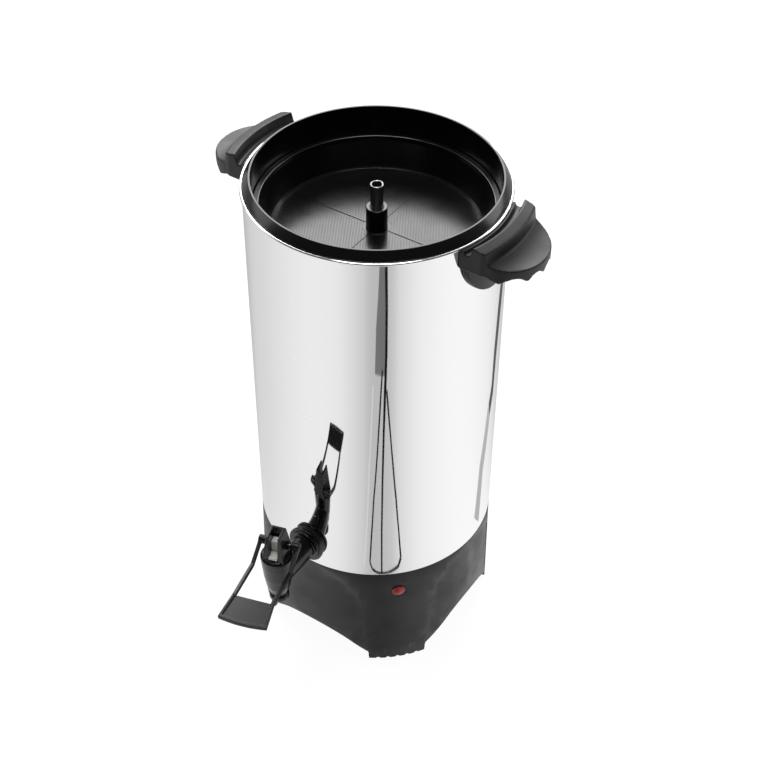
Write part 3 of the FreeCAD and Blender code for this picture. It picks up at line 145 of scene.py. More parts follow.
# %% [markdown]
# A moulded handle or tap has soft edges and blended corners everywhere, because the steel of its
# mould is rounded. One could model each blend by hand. It is quicker and truer to take the exact
# solid, remesh it into even cells of half a millimetre or so, and relax the cells a little: every
# edge then turns over a radius of about a cell, as on a real moulding.

# %% Soft copies of moulded solids
def node_mesh(*names):
    """Welded copy of CAD nodes, because their own triangles are loose."""
    work = bmesh.new()
    for name in names:
        work.from_mesh(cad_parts[name].data)
    bmesh.ops.remove_doubles(work, verts=work.verts, dist=2e-6)
    mesh = bpy.data.meshes.new(names[0] + "_copy")
    work.to_mesh(mesh)
    work.free()
    return mesh


def through_modifiers(mesh, *settings):
    """The mesh after a stack of modifiers, each given as its type and a dict of settings."""
    helper = bpy.data.objects.new("helper", mesh)
    bpy.context.scene.collection.objects.link(helper)
    for kind, values in settings:
        modifier = helper.modifiers.new(kind.lower(), kind)
        for key, value in values.items():
            setattr(modifier, key, value)
    depsgraph = bpy.context.evaluated_depsgraph_get()
    result = bpy.data.meshes.new_from_object(helper.evaluated_get(depsgraph))
    bpy.data.objects.remove(helper)
    result.materials.clear()
    return result


def moulded(*names, cell=0.6, relax=3):
    """Soft-edged copy of solids; cell is the size of its faces in millimetres."""
    result = through_modifiers(
        node_mesh(*names),
        ("REMESH", {"mode": "VOXEL", "voxel_size": cell * MM, "use_smooth_shade": True}),
        ("SMOOTH", {"factor": 0.5, "iterations": relax}),
    )
    result.name = names[0] + "_moulded"
    return finish_mesh(result, 80)


def bevelled(*names, width=0.5, sharp=32):
    """Crisp copy of solids with narrow eased edges; width in millimetres."""
    result = through_modifiers(
        node_mesh(*names),
        ("BEVEL", {"width": width * MM, "segments": 2, "limit_method": "ANGLE",
                   "angle_limit": math.radians(35), "harden_normals": False}),
    )
    result.name = names[0] + "_bevelled"
    return finish_mesh(result, sharp)


# %% [markdown]
# ## Small tools for materials
# Colours are given as sRGB hex values, as a designer writes them, and turned to the linear numbers that
# the renderer adds up. One helper adds a node with its settings and its inputs, so that a material
# reads like a list of its layers.

# %% Colour and nodes
def linear(code, alpha=1.0):
    """sRGB hex to linear colour."""
    channels = [int(code[i:i + 2], 16) / 255 for i in (1, 3, 5)]
    return [c / 12.92 if c <= 0.04045 else ((c + 0.055) / 1.055) ** 2.4 for c in channels] + [alpha]


def add(tree, kind, settings=None, inputs=None):
    """Add a node; settings are its properties, inputs are values or the sockets that feed it."""
    node = tree.nodes.new(kind)
    for name, value in (settings or {}).items():
        setattr(node, name, value)
    for key, value in (inputs or {}).items():
        if isinstance(value, bpy.types.NodeSocket):
            tree.links.new(value, node.inputs[key])
        else:
            node.inputs[key].default_value = value
    return node


def surface(name, colour, roughness, **constants):
    """New material with a Principled shader; returns it with its tree, shader and coordinates."""
    material = bpy.data.materials.new(name)
    material.use_nodes = True
    tree = material.node_tree
    tree.nodes.clear()
    shader = add(tree, "ShaderNodeBsdfPrincipled",
        inputs={"Base Color": linear(colour), "Roughness": roughness})
    for key, value in constants.items():
        shader.inputs[key.replace("_", " ")].default_value = value
    add(tree, "ShaderNodeOutputMaterial", inputs={"Surface": shader.outputs[0]})
    coordinates = add(tree, "ShaderNodeTexCoord").outputs["Object"]
    return material, tree, shader, coordinates


def noise(tree, coordinates, size, detail=2.0, stretch=(1, 1, 1)):
    """Noise whose cells are about size millimetres across, longer along an axis by its stretch."""
    spread = add(tree, "ShaderNodeMapping", inputs={"Vector": coordinates, "Scale": [1 / s for s in stretch]})
    return add(tree, "ShaderNodeTexNoise", inputs={"Vector": spread.outputs[0], "Scale": 1 / (size * MM),
                                                  "Detail": detail}).outputs["Fac"]


def between(tree, value, low, high):
    """Map a noise, which mostly lies from 0.3 to 0.7, onto low to high."""
    return add(tree, "ShaderNodeMapRange", inputs={"Value": value, "From Min": 0.3, "From Max": 0.7,
                                                  "To Min": low, "To Max": high}).outputs[0]


def relief(tree, shader, *layers):
    """Stack bumps; each layer is a value and its height in millimetres."""
    normal = None
    for value, height in layers:
        inputs = {"Height": value, "Distance": height * MM, "Strength": 1.0}
        if normal:
            inputs["Normal"] = normal
        normal = add(tree, "ShaderNodeBump", inputs=inputs).outputs[0]
    tree.links.new(normal, shader.inputs["Normal"])


# %% [markdown]
# ## Steel finishes
# The vessel is bright-rolled 18/10 stainless steel, buffed after it was welded. The eye reads it
# by what it mirrors, so the colour stays pale and the roughness low. Three faint things keep it
# from looking like a computer's mirror: a slow wave where the sheet sprang back from the rolls,
# hoop lines a fraction of a millimetre apart from the buffing wheel, and patches where fingers
# and cloths have dulled it. The hoop lines are drawn a little coarser than real ones, because
# real ones are too fine for the picture.

# %% Polished stainless steel
def polished_steel(name, colour, roughness, wave):
    material, tree, shader, coordinates = surface(name, colour, roughness, Metallic=1.0)
    patches = noise(tree, coordinates, 35, 4)
    hoops = noise(tree, coordinates, 0.9, 2, (80, 80, 1))
    gloss = between(tree, patches, roughness * 0.7, roughness * 1.5)
    hoop_gloss = between(tree, hoops, -0.008, 0.014)
    total = add(tree, "ShaderNodeMath", {"operation": "ADD"}, {0: gloss, 1: hoop_gloss})
    tree.links.new(total.outputs[0], shader.inputs["Roughness"])
    relief(tree, shader, (noise(tree, coordinates, 110, 1, (1, 1, 2)), wave), (hoops, 0.0003))
    return material


VESSEL_STEEL = polished_steel("buffed_stainless_steel", "#E6E6E7", 0.03, 0.004)
TUBE_ALUMINIUM = polished_steel("bright_drawn_aluminium", "#D6D7D9", 0.09, 0.0)
PLAIN_STEEL = polished_steel("plain_stainless_fasteners", "#B9BABB", 0.24, 0.0)
print("steels ready")

# %% [markdown]
# The tank floor is the same steel as it came from the press, so it is duller. Zinc-plated
# fasteners carry a slightly blue, cloudy plating, and the cast heater shows the sandy skin of
# cast aluminium. All three hide inside, but they show when the urn is turned over or emptied.

# %% Duller metals
def dull_metal(name, colour, roughness, cloud, grit, grit_height):
    """cloud and grit are sizes in millimetres: slow changes of gloss and the grain of the skin."""
    material, tree, shader, coordinates = surface(name, colour, roughness, Metallic=1.0)
    slow = noise(tree, coordinates, cloud, 3)
    tree.links.new(between(tree, slow, roughness * 0.75, roughness * 1.3), shader.inputs["Roughness"])
    tint = add(tree, "ShaderNodeMix", {"data_type": "RGBA"}, {
        "Factor": between(tree, slow, 0.0, 0.35), "A": linear(colour), "B": linear("#8C8D8E")})
    tree.links.new(tint.outputs["Result"], shader.inputs["Base Color"])
    relief(tree, shader, (noise(tree, coordinates, grit, 2), grit_height))
    return material


PRESSED_STEEL = dull_metal("pressed_stainless_steel", "#C6C6C5", 0.27, 22, 0.6, 0.002)
ZINC_STEEL = dull_metal("zinc_plated_steel", "#B4B8BE", 0.36, 5, 0.4, 0.004)
CAST_ALUMINIUM = dull_metal("cast_aluminium", "#A5A6A6", 0.52, 9, 0.7, 0.03)
ELEMENT_SHEATH = dull_metal("annealed_element_sheath", "#86807A", 0.45, 7, 0.5, 0.006)
SPRING_WIRE = dull_metal("drawn_spring_wire", "#A9ABAD", 0.28, 3, 0.2, 0.001)
BRASS = dull_metal("nickel_plated_brass", "#C9BE9B", 0.22, 4, 0.4, 0.001)
print("dull metals ready")

# %% [markdown]
# ## Plastics
# The base, the handles and the tap are black mouldings, and they don't look alike. Phenolic and
# glass-filled nylon come out of a fine spark-eroded mould, which gives a satin face with grain a
# few tenths of a millimetre across. The basket and collar are polypropylene from a polished
# mould: glossy, with a slight orange-peel. Black is never pure: it sits near 3% grey, and where
# hands rub it the gloss goes up, which the slow cloud of roughness stands for.

# %% Moulded plastics
def moulded_plastic(name, colour, rubbed, roughness, grain, depth, peel=0.0, **constants):
    """grain and depth are the mould texture's cell and height, peel a slow wave's height, in mm."""
    material, tree, shader, coordinates = surface(name, colour, roughness, **constants)
    wear = noise(tree, coordinates, 28, 5)
    fine = noise(tree, coordinates, grain, 2)
    worn = between(tree, wear, roughness * 1.12, roughness * 0.8)
    speck = between(tree, fine, -0.03, 0.03)
    total = add(tree, "ShaderNodeMath", {"operation": "ADD"}, {0: worn, 1: speck})
    tree.links.new(total.outputs[0], shader.inputs["Roughness"])
    tint = add(tree, "ShaderNodeMix", {"data_type": "RGBA"}, {
        "Factor": between(tree, wear, 0.0, 1.0), "A": linear(colour), "B": linear(rubbed)})
    tree.links.new(tint.outputs["Result"], shader.inputs["Base Color"])
    relief(tree, shader, (noise(tree, coordinates, 14, 1), peel), (fine, depth))
    return material


BASE_PLASTIC = moulded_plastic("satin_black_phenolic", "#131314", "#19191A", 0.46, 0.55, 0.006, 0.01,
                               Specular_IOR_Level=0.36)
HANDLE_PLASTIC = moulded_plastic("matt_black_nylon", "#111112", "#171718", 0.42, 0.5, 0.008, 0.01,
                                 Specular_IOR_Level=0.3)
COLLAR_PLASTIC = moulded_plastic("black_polypropylene_collar", "#060607", "#09090A", 0.2, 0.7, 0.001, 0.006,
                                 Specular_IOR_Level=0.4)
BASKET_PLASTIC = moulded_plastic("black_polypropylene_basket", "#08080A", "#0C0C0D", 0.22, 0.7, 0.001, 0.008)
FAUCET_PLASTIC = moulded_plastic("glossy_black_nylon_faucet", "#09090A", "#0E0E0F", 0.24, 0.6, 0.003, 0.008,
                                 Specular_IOR_Level=0.4)
LEVER_PLASTIC = moulded_plastic("satin_black_acetal_lever", "#0E0E0F", "#141415", 0.33, 0.5, 0.004, 0.004,
                                Specular_IOR_Level=0.35)
WHITE_PLASTIC = moulded_plastic("natural_acetal", "#E4E2DC", "#EAE8E3", 0.35, 0.6, 0.002, 0.0)
print("plastics ready")

# %% [markdown]
# Rubber and silicone are softer to the eye: no sharp highlight, a dusty bloom, and a moulded skin.
# The lamp's lens is clear red acrylic. Light goes in, meets the dark inside and comes back red,
# so it gets some transmission, a strong red and a glassy surface.

# %% Rubber, silicone and the red lens
RUBBER = moulded_plastic("black_foot_rubber", "#1B1B1B", "#2A2A29", 0.72, 0.8, 0.012)
SILICONE = moulded_plastic("black_silicone_seal", "#141414", "#1A1A1A", 0.5, 0.6, 0.004)
WHITE_SILICONE = moulded_plastic("clear_silicone_seat", "#CFCBC2", "#D8D5CE", 0.4, 0.6, 0.003)
RED_LENS, lens_tree, lens_shader, lens_place = surface(
    "red_acrylic_lens", "#A80C18", 0.1, IOR=1.49, Transmission_Weight=0.05)
relief(lens_tree, lens_shader, (noise(lens_tree, lens_place, 2.2, 1), 0.02))
lens_glow = between(lens_tree, noise(lens_tree, lens_place, 3.0, 1), 0.05, 0.14)
lens_tree.links.new(lens_glow, lens_shader.inputs["Roughness"])
LAMP_GLASS, glass_tree, glass_shader, glass_place = surface(
    "neon_lamp_glass", "#D9C9B8", 0.1, IOR=1.5, Transmission_Weight=0.4)
relief(glass_tree, glass_shader, (noise(glass_tree, glass_place, 1.5, 1), 0.01))
ETCHED_MARK, etch_tree, etch_shader, etch_place = surface("etched_frosted_steel", "#FFFFFF", 0.3,
    Metallic=1.0)
etch_grain = noise(etch_tree, etch_place, 0.3, 2)
etch_tree.links.new(between(etch_tree, etch_grain, 0.26, 0.36), etch_shader.inputs["Roughness"])
relief(etch_tree, etch_shader, (etch_grain, 0.002))
print("lens, seals and marks ready")

# %% [markdown]
# ## Materials on the CAD pieces that stay
# Small hidden parts, such as pins, nuts and clips, are already exact in the frame. They keep
# their CAD mesh and only get the right finish in every one of their slots.

# %% Finishes by node
PLAIN_NODES = {
    "tank_floor": PRESSED_STEEL, "cover_washer": RUBBER, "centre_stud": ZINC_STEEL, "cover_nut": ZINC_STEEL,
    "pump_heater": CAST_ALUMINIUM, "warming_element": ELEMENT_SHEATH, "element_clips": PRESSED_STEEL,
    "thermostat": ZINC_STEEL, "thermal_fuse": ZINC_STEEL, "lens_clip": SPRING_WIRE,
    "indicator_lamp": LAMP_GLASS,
    "inlet_pins": BRASS, "handle_screws": PLAIN_STEEL, "inner_seal": SILICONE, "shank_nut": FAUCET_PLASTIC,
    "valve_spring": SPRING_WIRE, "seat_cup": WHITE_SILICONE, "valve_stem": WHITE_PLASTIC,
    "lever_pin": PLAIN_STEEL, "pump_disc": PLAIN_STEEL, "pump_foot": TUBE_ALUMINIUM,
    "lift_cam": LEVER_PLASTIC,
    "foot_pads": RUBBER, "bottom_cover": BASE_PLASTIC, "faucet_gasket": SILICONE,
    "inlet_housing": HANDLE_PLASTIC,
    "base_skirt": BASE_PLASTIC, "body_shell": VESSEL_STEEL, "collar_ring": COLLAR_PLASTIC,
    "basket": BASKET_PLASTIC, "basket_spider": BASKET_PLASTIC, "basket_strainer": BASKET_PLASTIC,
    "stem_tube": TUBE_ALUMINIUM,
    "indicator_lens": RED_LENS, "lever": LEVER_PLASTIC, "bonnet": FAUCET_PLASTIC,
    "faucet_body": FAUCET_PLASTIC,
    "handle_left": HANDLE_PLASTIC, "handle_right": HANDLE_PLASTIC,
}
for name, material in PLAIN_NODES.items():
    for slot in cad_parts[name].material_slots:
        slot.material = material
print("finished nodes:", len(PLAIN_NODES), "of", len(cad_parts))

# %% [markdown]
# ## The vessel
# The shell is one sheet of steel rolled to a tube, with its top edge curled outwards into a bead
# so that nobody cuts a hand. The bead is what catches the thin white line at the mouth. It is
# turned here with 256 steps, because a mirror shows every flat that a plain black part would hide.
# Extra rings close to both ends keep the wall's shading level: a smooth normal that leans at the
# end of a long face would bend everything that the wall mirrors.

# %% Turn the steel shell
SHELL_RADIUS, SHELL_BORE, SHELL_FOOT, SHELL_TOP, BEAD = 125.0, 124.2, 137.0, 543.5, 1.5
BEAD_RADIUS = SHELL_BORE + BEAD
BEAD_HEIGHT = SHELL_TOP - BEAD
bead = []
for step in range(25):
    angle = math.radians(-118 + 298 * step / 24)
    bead.append((BEAD_RADIUS + BEAD * math.cos(angle), BEAD_HEIGHT + BEAD * math.sin(angle)))
shell_outline = [(SHELL_BORE, SHELL_FOOT), (SHELL_RADIUS - 0.05, SHELL_FOOT),
    (SHELL_RADIUS, SHELL_FOOT + 0.2)]
wall_top = BEAD_HEIGHT - BEAD * 0.9 - 0.15
shell_outline += [(SHELL_RADIUS, SHELL_FOOT + 0.6), (SHELL_RADIUS, SHELL_FOOT + 1.0)]
shell_outline += [(SHELL_RADIUS, wall_top - 0.8), (SHELL_RADIUS, wall_top - 0.4),
    (SHELL_RADIUS, wall_top)] + bead
piece("vessel_shell", as_mesh("vessel_shell", turned(shell_outline, 256)), VESSEL_STEEL,
      "urn", "body_shell")

# %% [markdown]
# Above the tap a column of small marks tells how many cups are left. They are etched into the
# steel, so they look white and frosted from one side and vanish from another. Each number is a
# text made into a mesh and then bent round the shell: its width becomes an angle.

# %% Etch the level marks
MARK_DEPTH, MARK_STEP, TOP_MARK = 0.03, 68.0, 480.5
DIGIT_HEIGHT, DASH_START, DASH_END, DASH_HALF = 3.6, 4.6, 10.5, 0.3


def flat_text(words, height):
    """Mesh of a word that lies in the XY plane, its middle at the origin, all in metres."""
    curve = bpy.data.curves.new("mark_" + words, "FONT")
    curve.body = words
    curve.size = height * MM
    curve.extrude = MARK_DEPTH * MM
    curve.align_x = "CENTER"
    curve.align_y = "CENTER"
    holder = bpy.data.objects.new("mark_text", curve)
    bpy.context.scene.collection.objects.link(holder)
    mesh = bpy.data.meshes.new_from_object(holder.evaluated_get(bpy.context.evaluated_depsgraph_get()))
    bpy.data.objects.remove(holder)
    return mesh


marks = bmesh.new()
for index, cups in enumerate((100, 80, 60, 40, 20)):
    row = bmesh.new()
    row.from_mesh(flat_text(str(cups), DIGIT_HEIGHT))
    for side in (-1, 1):
        dash = bmesh.ops.create_cube(row, size=1.0)["verts"]
        middle = Matrix.Translation((side * (DASH_START + DASH_END) / 2 * MM, 0, 0))
        size = Matrix.Diagonal(((DASH_END - DASH_START) * MM, 2 * DASH_HALF * MM, 2 * MARK_DEPTH * MM, 1))
        bmesh.ops.transform(row, matrix=middle @ size, verts=dash)
    for vert in row.verts:
        angle = vert.co.x / (SHELL_RADIUS * MM)
        reach = (SHELL_RADIUS + MARK_DEPTH) * MM + vert.co.z
        height = (TOP_MARK - MARK_STEP * index) * MM + vert.co.y
        vert.co = (reach * math.sin(angle), -reach * math.cos(angle), height)
    loose = bpy.data.meshes.new("row")
    row.to_mesh(loose)
    row.free()
    marks.from_mesh(loose)
piece("level_marks", as_mesh("level_marks", marks), ETCHED_MARK, "urn")

# %% [markdown]
# ## The collar and the basket
# A black ring sits inside the mouth: it stands up past the bead, and a ledge in its bore carries
# the basket's rim. In the photograph thin pale lines run along these edges. They are not paint:
# they are the small radii of the mould catching the lamps, so each edge here gets a real radius.

# %% Turn the collar
collar_outline = eased([
    (112.0, 517.5, 0.6), (112.0, 520.5, 0.8), (116.5, 520.5, 1.0), (116.5, 551.6, 0.2), (116.9, 552.1, 0.2),
    (118.5, 552.1, 0.25), (124.5, 544.3, 0.35), (124.5, 543.2), (123.9, 543.2), (123.9, 495.0, 0.6),
    (121.4, 495.0, 0.6), (121.4, 541.0), (118.5, 541.0), (118.5, 517.5, 0.6),
])
piece("collar", as_mesh("collar", turned(collar_outline, 224)), COLLAR_PLASTIC, "urn", "collar_ring")

# %% [markdown]
# The basket is a shallow pan. Its rim overhangs the wall and rests on the collar's ledge, the wall
# slopes in to a floor ring, and a tall sleeve in the middle guides the stem tube. The strainer,
# with its thousands of holes, is made after them by a rule.

# %% Turn the basket wall
basket_outline = eased([
    (115.9, 520.5, 0.4), (115.9, 522.5, 0.8), (109.8, 522.5, 1.4), (109.8, 517.5, 3.0), (102.5, 492.5, 0.5),
    (102.5, 491.3), (98.0, 491.3), (98.0, 489.3, 0.4), (104.1, 489.3, 1.0), (111.4, 516.7, 3.0),
    (111.4, 520.5, 0.4),
])
piece("coffee_basket_wall", as_mesh("coffee_basket_wall", turned(basket_outline, 224)), BASKET_PLASTIC,
      "coffee_basket", "basket")

# %% [markdown]
# The sleeve in the middle and the spokes that hold it are one moulding. Each spoke is a flat bar
# under the screen, and a thin rib on its back shows through as the line that crosses the screen.

# %% Turn the sleeve and set out its spokes
SPOKES = 4
SPOKE_BARS = ((8.7, 97.9, 489.3, 491.3, 3.0), (10.0, 97.9, 491.2, 493.1, 0.9))
sleeve_outline = eased([
    (6.6, 488.3, 0.3), (10.3, 488.3, 0.3), (10.3, 515.5, 0.9), (6.6, 515.5, 0.7),
])
spokes = bmesh.new()
for index in range(SPOKES):
    turn_out = Matrix.Rotation(2 * math.pi * index / SPOKES, 4, "Z")
    for inner, outer, low, high, width in SPOKE_BARS:
        bar = bmesh.ops.create_cube(spokes, size=1.0)["verts"]
        size = Matrix.Diagonal(((outer - inner) * MM, width * MM, (high - low) * MM, 1))
        out = Matrix.Translation(((inner + outer) / 2 * MM, 0, (low + high) / 2 * MM))
        bmesh.ops.transform(spokes, matrix=turn_out @ out @ size, verts=bar)
piece("basket_sleeve", as_mesh("basket_sleeve", turned(sleeve_outline, 64), spokes), BASKET_PLASTIC,
      "coffee_basket", "basket_spider")

# %% [markdown]
# ## The strainer, by Geometry Nodes
# The basket's floor is a moulded screen. Holes on a honeycomb grid leave webs of equal width, so
# the rule is short: put a point at every cell of the grid, drop the points outside the ring, and
# set one small six-sided frame on each. A frame is a square bar led round a hexagon, which
# needs only 24 faces, so close to four thousand of them stay light. The screen is grown as an
# inner and an outer ring on one grid, so that neither piece is heavy.

# %% Helper for node inputs
def tree_with_inputs(name, **sizes):
    """Geometry Nodes tree with one named float input for each size, in metres."""
    tree = bpy.data.node_groups.new(name, "GeometryNodeTree")
    tree.interface.new_socket("Geometry", in_out="OUTPUT", socket_type="NodeSocketGeometry")
    for key in sizes:
        tree.interface.new_socket(key, in_out="INPUT", socket_type="NodeSocketFloat")
    tree.interface.new_socket("Material", in_out="INPUT", socket_type="NodeSocketMaterial")
    return tree, tree.nodes.new("NodeGroupInput")


def grown(name, tree, material, **sizes):
    """Plain mesh that a tree makes; its inputs are set by identifier before it is evaluated."""
    host = bpy.data.objects.new(name + "_host", bpy.data.meshes.new(name + "_host"))
    modifier = host.modifiers.new("grow", "NODES")
    modifier.node_group = tree
    for item in tree.interface.items_tree:
        if item.in_out == "INPUT":
            modifier[item.identifier] = material if item.name == "Material" else sizes[item.name]
    bpy.context.scene.collection.objects.link(host)
    depsgraph = bpy.context.evaluated_depsgraph_get()
    mesh = bpy.data.meshes.new_from_object(host.evaluated_get(depsgraph))
    bpy.data.objects.remove(host)
    mesh.name = name
    return mesh


# %% Tree for a honeycomb screen
screen_sizes = {"pitch": 3.1 * MM, "web": 1.15 * MM, "sheet": 1.2 * MM, "span": 99.3 * MM, "inner": 13.0 * MM,
                "outer": 99.3 * MM, "height": 491.9 * MM}
screen, given = tree_with_inputs("honeycomb_screen", **screen_sizes)


def maths(operation, *values, tree=screen):
    node = add(tree, "ShaderNodeMath", {"operation": operation}, dict(enumerate(values)))
    return node.outputs[0]


row_step = maths("MULTIPLY", given.outputs["pitch"], math.sqrt(3) / 2)
columns = maths("ADD", maths("ROUND", maths("DIVIDE", maths("MULTIPLY", given.outputs["span"], 2.0),
                                            given.outputs["pitch"])), 3.0)
rows = maths("ADD", maths("MULTIPLY", maths("ROUND", maths("DIVIDE", given.outputs["span"], row_step)), 2.0),
    3.0)
grid = add(screen, "GeometryNodeMeshGrid", inputs={
    "Size X": maths("MULTIPLY", maths("SUBTRACT", columns, 1.0), given.outputs["pitch"]),
    "Size Y": maths("MULTIPLY", maths("SUBTRACT", rows, 1.0), row_step),
    "Vertices X": columns, "Vertices Y": rows})
position = add(screen, "GeometryNodeInputPosition").outputs[0]
split = add(screen, "ShaderNodeSeparateXYZ", inputs={0: position})
row_number = maths("ROUND", maths("DIVIDE", split.outputs["Y"], row_step))
shift = maths("MULTIPLY", maths("FLOORED_MODULO", row_number, 2.0),
    maths("MULTIPLY", given.outputs["pitch"], 0.5))
offset = add(screen, "ShaderNodeCombineXYZ", inputs={"X": shift, "Z": given.outputs["height"]})
staggered = add(screen, "GeometryNodeSetPosition",
    inputs={"Geometry": grid.outputs["Mesh"], "Offset": offset.outputs[0]})
moved = add(screen, "ShaderNodeSeparateXYZ", inputs={0: add(screen, "GeometryNodeInputPosition").outputs[0]})
flat = add(screen, "ShaderNodeCombineXYZ", inputs={"X": moved.outputs["X"], "Y": moved.outputs["Y"]})
reach = add(screen, "ShaderNodeVectorMath", {"operation": "LENGTH"}, {0: flat.outputs[0]}).outputs["Value"]
too_far = add(screen, "FunctionNodeCompare", {"data_type": "FLOAT", "operation": "GREATER_THAN"},
              {"A": reach, "B": given.outputs["outer"]})
too_near = add(screen, "FunctionNodeCompare", {"data_type": "FLOAT", "operation": "LESS_THAN"},
               {"A": reach, "B": given.outputs["inner"]})
outside = add(screen, "FunctionNodeBooleanMath", {"operation": "OR"},
    {0: too_far.outputs[0], 1: too_near.outputs[0]})
kept = add(screen, "GeometryNodeDeleteGeometry", {"domain": "POINT"},
           {"Geometry": staggered.outputs[0], "Selection": outside.outputs[0]})
corner_reach = maths("DIVIDE", given.outputs["pitch"], math.sqrt(3))
frame_radius = maths("SUBTRACT", corner_reach, maths("MULTIPLY", given.outputs["web"], 0.5))
hexagon = add(screen, "GeometryNodeCurvePrimitiveCircle", inputs={"Resolution": 6, "Radius": frame_radius})
turn = add(screen, "GeometryNodeTransform", inputs={
    "Geometry": hexagon.outputs[0], "Rotation": (0, 0, math.radians(30))})
bar_section = add(screen, "GeometryNodeCurvePrimitiveQuadrilateral",
                  inputs={"Width": given.outputs["web"], "Height": given.outputs["sheet"]})
cell = add(screen, "GeometryNodeCurveToMesh",
    inputs={"Curve": turn.outputs[0], "Profile Curve": bar_section.outputs[0]})
cells = add(screen, "GeometryNodeInstanceOnPoints",
    inputs={"Points": kept.outputs[0], "Instance": cell.outputs[0]})
realized = add(screen, "GeometryNodeRealizeInstances", inputs={"Geometry": cells.outputs[0]})
coated = add(screen, "GeometryNodeSetMaterial",
    inputs={"Geometry": realized.outputs[0], "Material": given.outputs["Material"]})
add(screen, "NodeGroupOutput", inputs={0: coated.outputs[0]})
print("screen tree:", len(screen.nodes), "nodes")

# %% Grow the strainer
SCREEN_SPLIT = 71.0 * MM
for part, inner, outer in (("inner", screen_sizes["inner"], SCREEN_SPLIT),
    ("outer", SCREEN_SPLIT, screen_sizes["outer"])):
    honeycomb = grown("strainer_screen_" + part, screen, BASKET_PLASTIC,
        **{**screen_sizes, "inner": inner, "outer": outer})
    honeycomb.shade_flat()
    piece("strainer_screen_" + part, honeycomb, BASKET_PLASTIC, "coffee_basket", "basket_strainer")
rim_outline = eased([(98.2, 491.3), (98.2, 492.6, 0.3), (102.4, 492.6, 0.3), (102.4, 491.3)])
hub_outline = eased([(10.4, 491.3), (10.4, 492.6, 0.3), (13.8, 492.6, 0.3), (13.8, 491.3)])
edges = as_mesh("strainer_edges", turned(rim_outline, 160), turned(hub_outline, 64))
piece("strainer_edges", edges, BASKET_PLASTIC, "coffee_basket")

# %% [markdown]
# ## The stem tube
# Hot water climbs this tube and spills over its open top. It is a drawn aluminium tube, and its
# top edge is rolled slightly inwards. Standing in a black basket it mirrors black, apart from a
# bright streak and the ring at its mouth.

# %% Turn the stem tube
tube_outline = eased([
    (5.3, 152.0), (6.2, 152.0), (6.2, 484.8, 1.0), (7.6, 486.4, 1.2), (6.2, 488.0, 1.0), (6.2, 539.2, 0.6),
    (5.8, 540.3, 0.3), (5.3, 540.1, 0.3),
])
piece("percolator_tube", as_mesh("percolator_tube", turned(tube_outline, 64)), TUBE_ALUMINIUM,
      "percolator", "stem_tube")

# %% [markdown]
# ## Handles
# Each handle is one thick moulding: a tongue screwed flat against the shell, a slot where the
# lid's lugs turn in, a raised wall, and a grip that is dished above and scalloped for the fingers
# below. The soft-edge remesh is right for it, since no edge of it is sharp.

# %% Mould the handles
for side in ("left", "right"):
    grip = moulded("handle_" + side, cell=0.85, relax=4)
    piece("handle_moulding_" + side, grip, HANDLE_PLASTIC, "urn", "handle_" + side)

# %% [markdown]
# ## The base
# The skirt is a tapered ring on four feet. Crisp parting lines bound the sunk panels, so it keeps
# its crisp CAD form, with narrow eased edges that catch the light.

# %% Ease the base
piece("base_moulding", bevelled("base_skirt", width=0.35), BASE_PLASTIC, "urn", "base_skirt")

# %% [markdown]
# ## Faucet, bonnet and lever
# The tap is the busiest part: a threaded shank with its flange, a tapering cup and the slotted
# bonnet that carries the lever. They are separate mouldings on the real urn, and stay separate
# here, each softened by the same remesh with finer cells because its details are smaller.

# %% Mould the faucet
piece("faucet_moulding", moulded("faucet_body", cell=0.5, relax=3), FAUCET_PLASTIC, "urn", "faucet_body")
piece("bonnet_moulding", moulded("bonnet", cell=0.4, relax=3), FAUCET_PLASTIC, "urn", "bonnet")
piece("lever_moulding", moulded("lever", cell=0.4, relax=3), LEVER_PLASTIC, "pour_lever", "lever")

# %% [markdown]
# ## The indicator lens
# The lens is a small red dome in one foot, with a flat flange under it that bears on the skirt.
# It is turned like the vessel and then laid on its side, pointing out of the foot.

# %% Turn the lens
LAMP_ANGLE, LAMP_HEIGHT, SKIRT_FLARE, LENS_PROUD = math.radians(45), 110.0, 2.0, 0.15
LAMP_DIRECTION = Vector((math.sin(LAMP_ANGLE), -math.cos(LAMP_ANGLE), 0))
lens_seat = SHELL_RADIUS + SKIRT_FLARE * (SHELL_FOOT - LAMP_HEIGHT) / SHELL_FOOT + LENS_PROUD
lens_place = Matrix.Translation((0, 0, LAMP_HEIGHT * MM)) @ LAMP_DIRECTION.to_track_quat("Z",
    "Y").to_matrix().to_4x4()
lens_outline = [(3.4, lens_seat - 8), (5.2, lens_seat - 8), (5.2, lens_seat), (6.8, lens_seat),
    (7.0, lens_seat + 0.2)]
for step in range(9):
    t = step / 8
    lens_outline.append((6.9 * (1 - t), lens_seat + 0.6 + 1.8 * (1 - (1 - t) ** 2)))
lens_outline.append((0, lens_seat - 2))
lens_outline.append((3.4, lens_seat - 2))
piece("lamp_lens", as_mesh("lamp_lens", turned(lens_outline, 64, lens_place), sharp=50), RED_LENS,
      "urn", "indicator_lens")

# %% [markdown]
# ## Floor, light and camera
# A chrome-bright vessel is lit by what stands round it. The studio has a pale floor, a bright wide
# panel behind and above, and softer ones at the sides. Strips on the floor paint the dark
# lines into the steel's reflection; they are seen only in mirrors.

# %% Directions as the camera sees them
TOWARDS = Vector((-0.55629, 0.83099, 0)).normalized()
ACROSS = Vector((TOWARDS.y, -TOWARDS.x, 0))
CAMERA_YAW = math.atan2(-TOWARDS.x, TOWARDS.y)


def seen_place(right_of, beyond, height=0.0):
    """Point given as the camera sees it: to its right, beyond the urn's axis, and up."""
    return ACROSS * right_of + TOWARDS * beyond + Vector((0, 0, height))
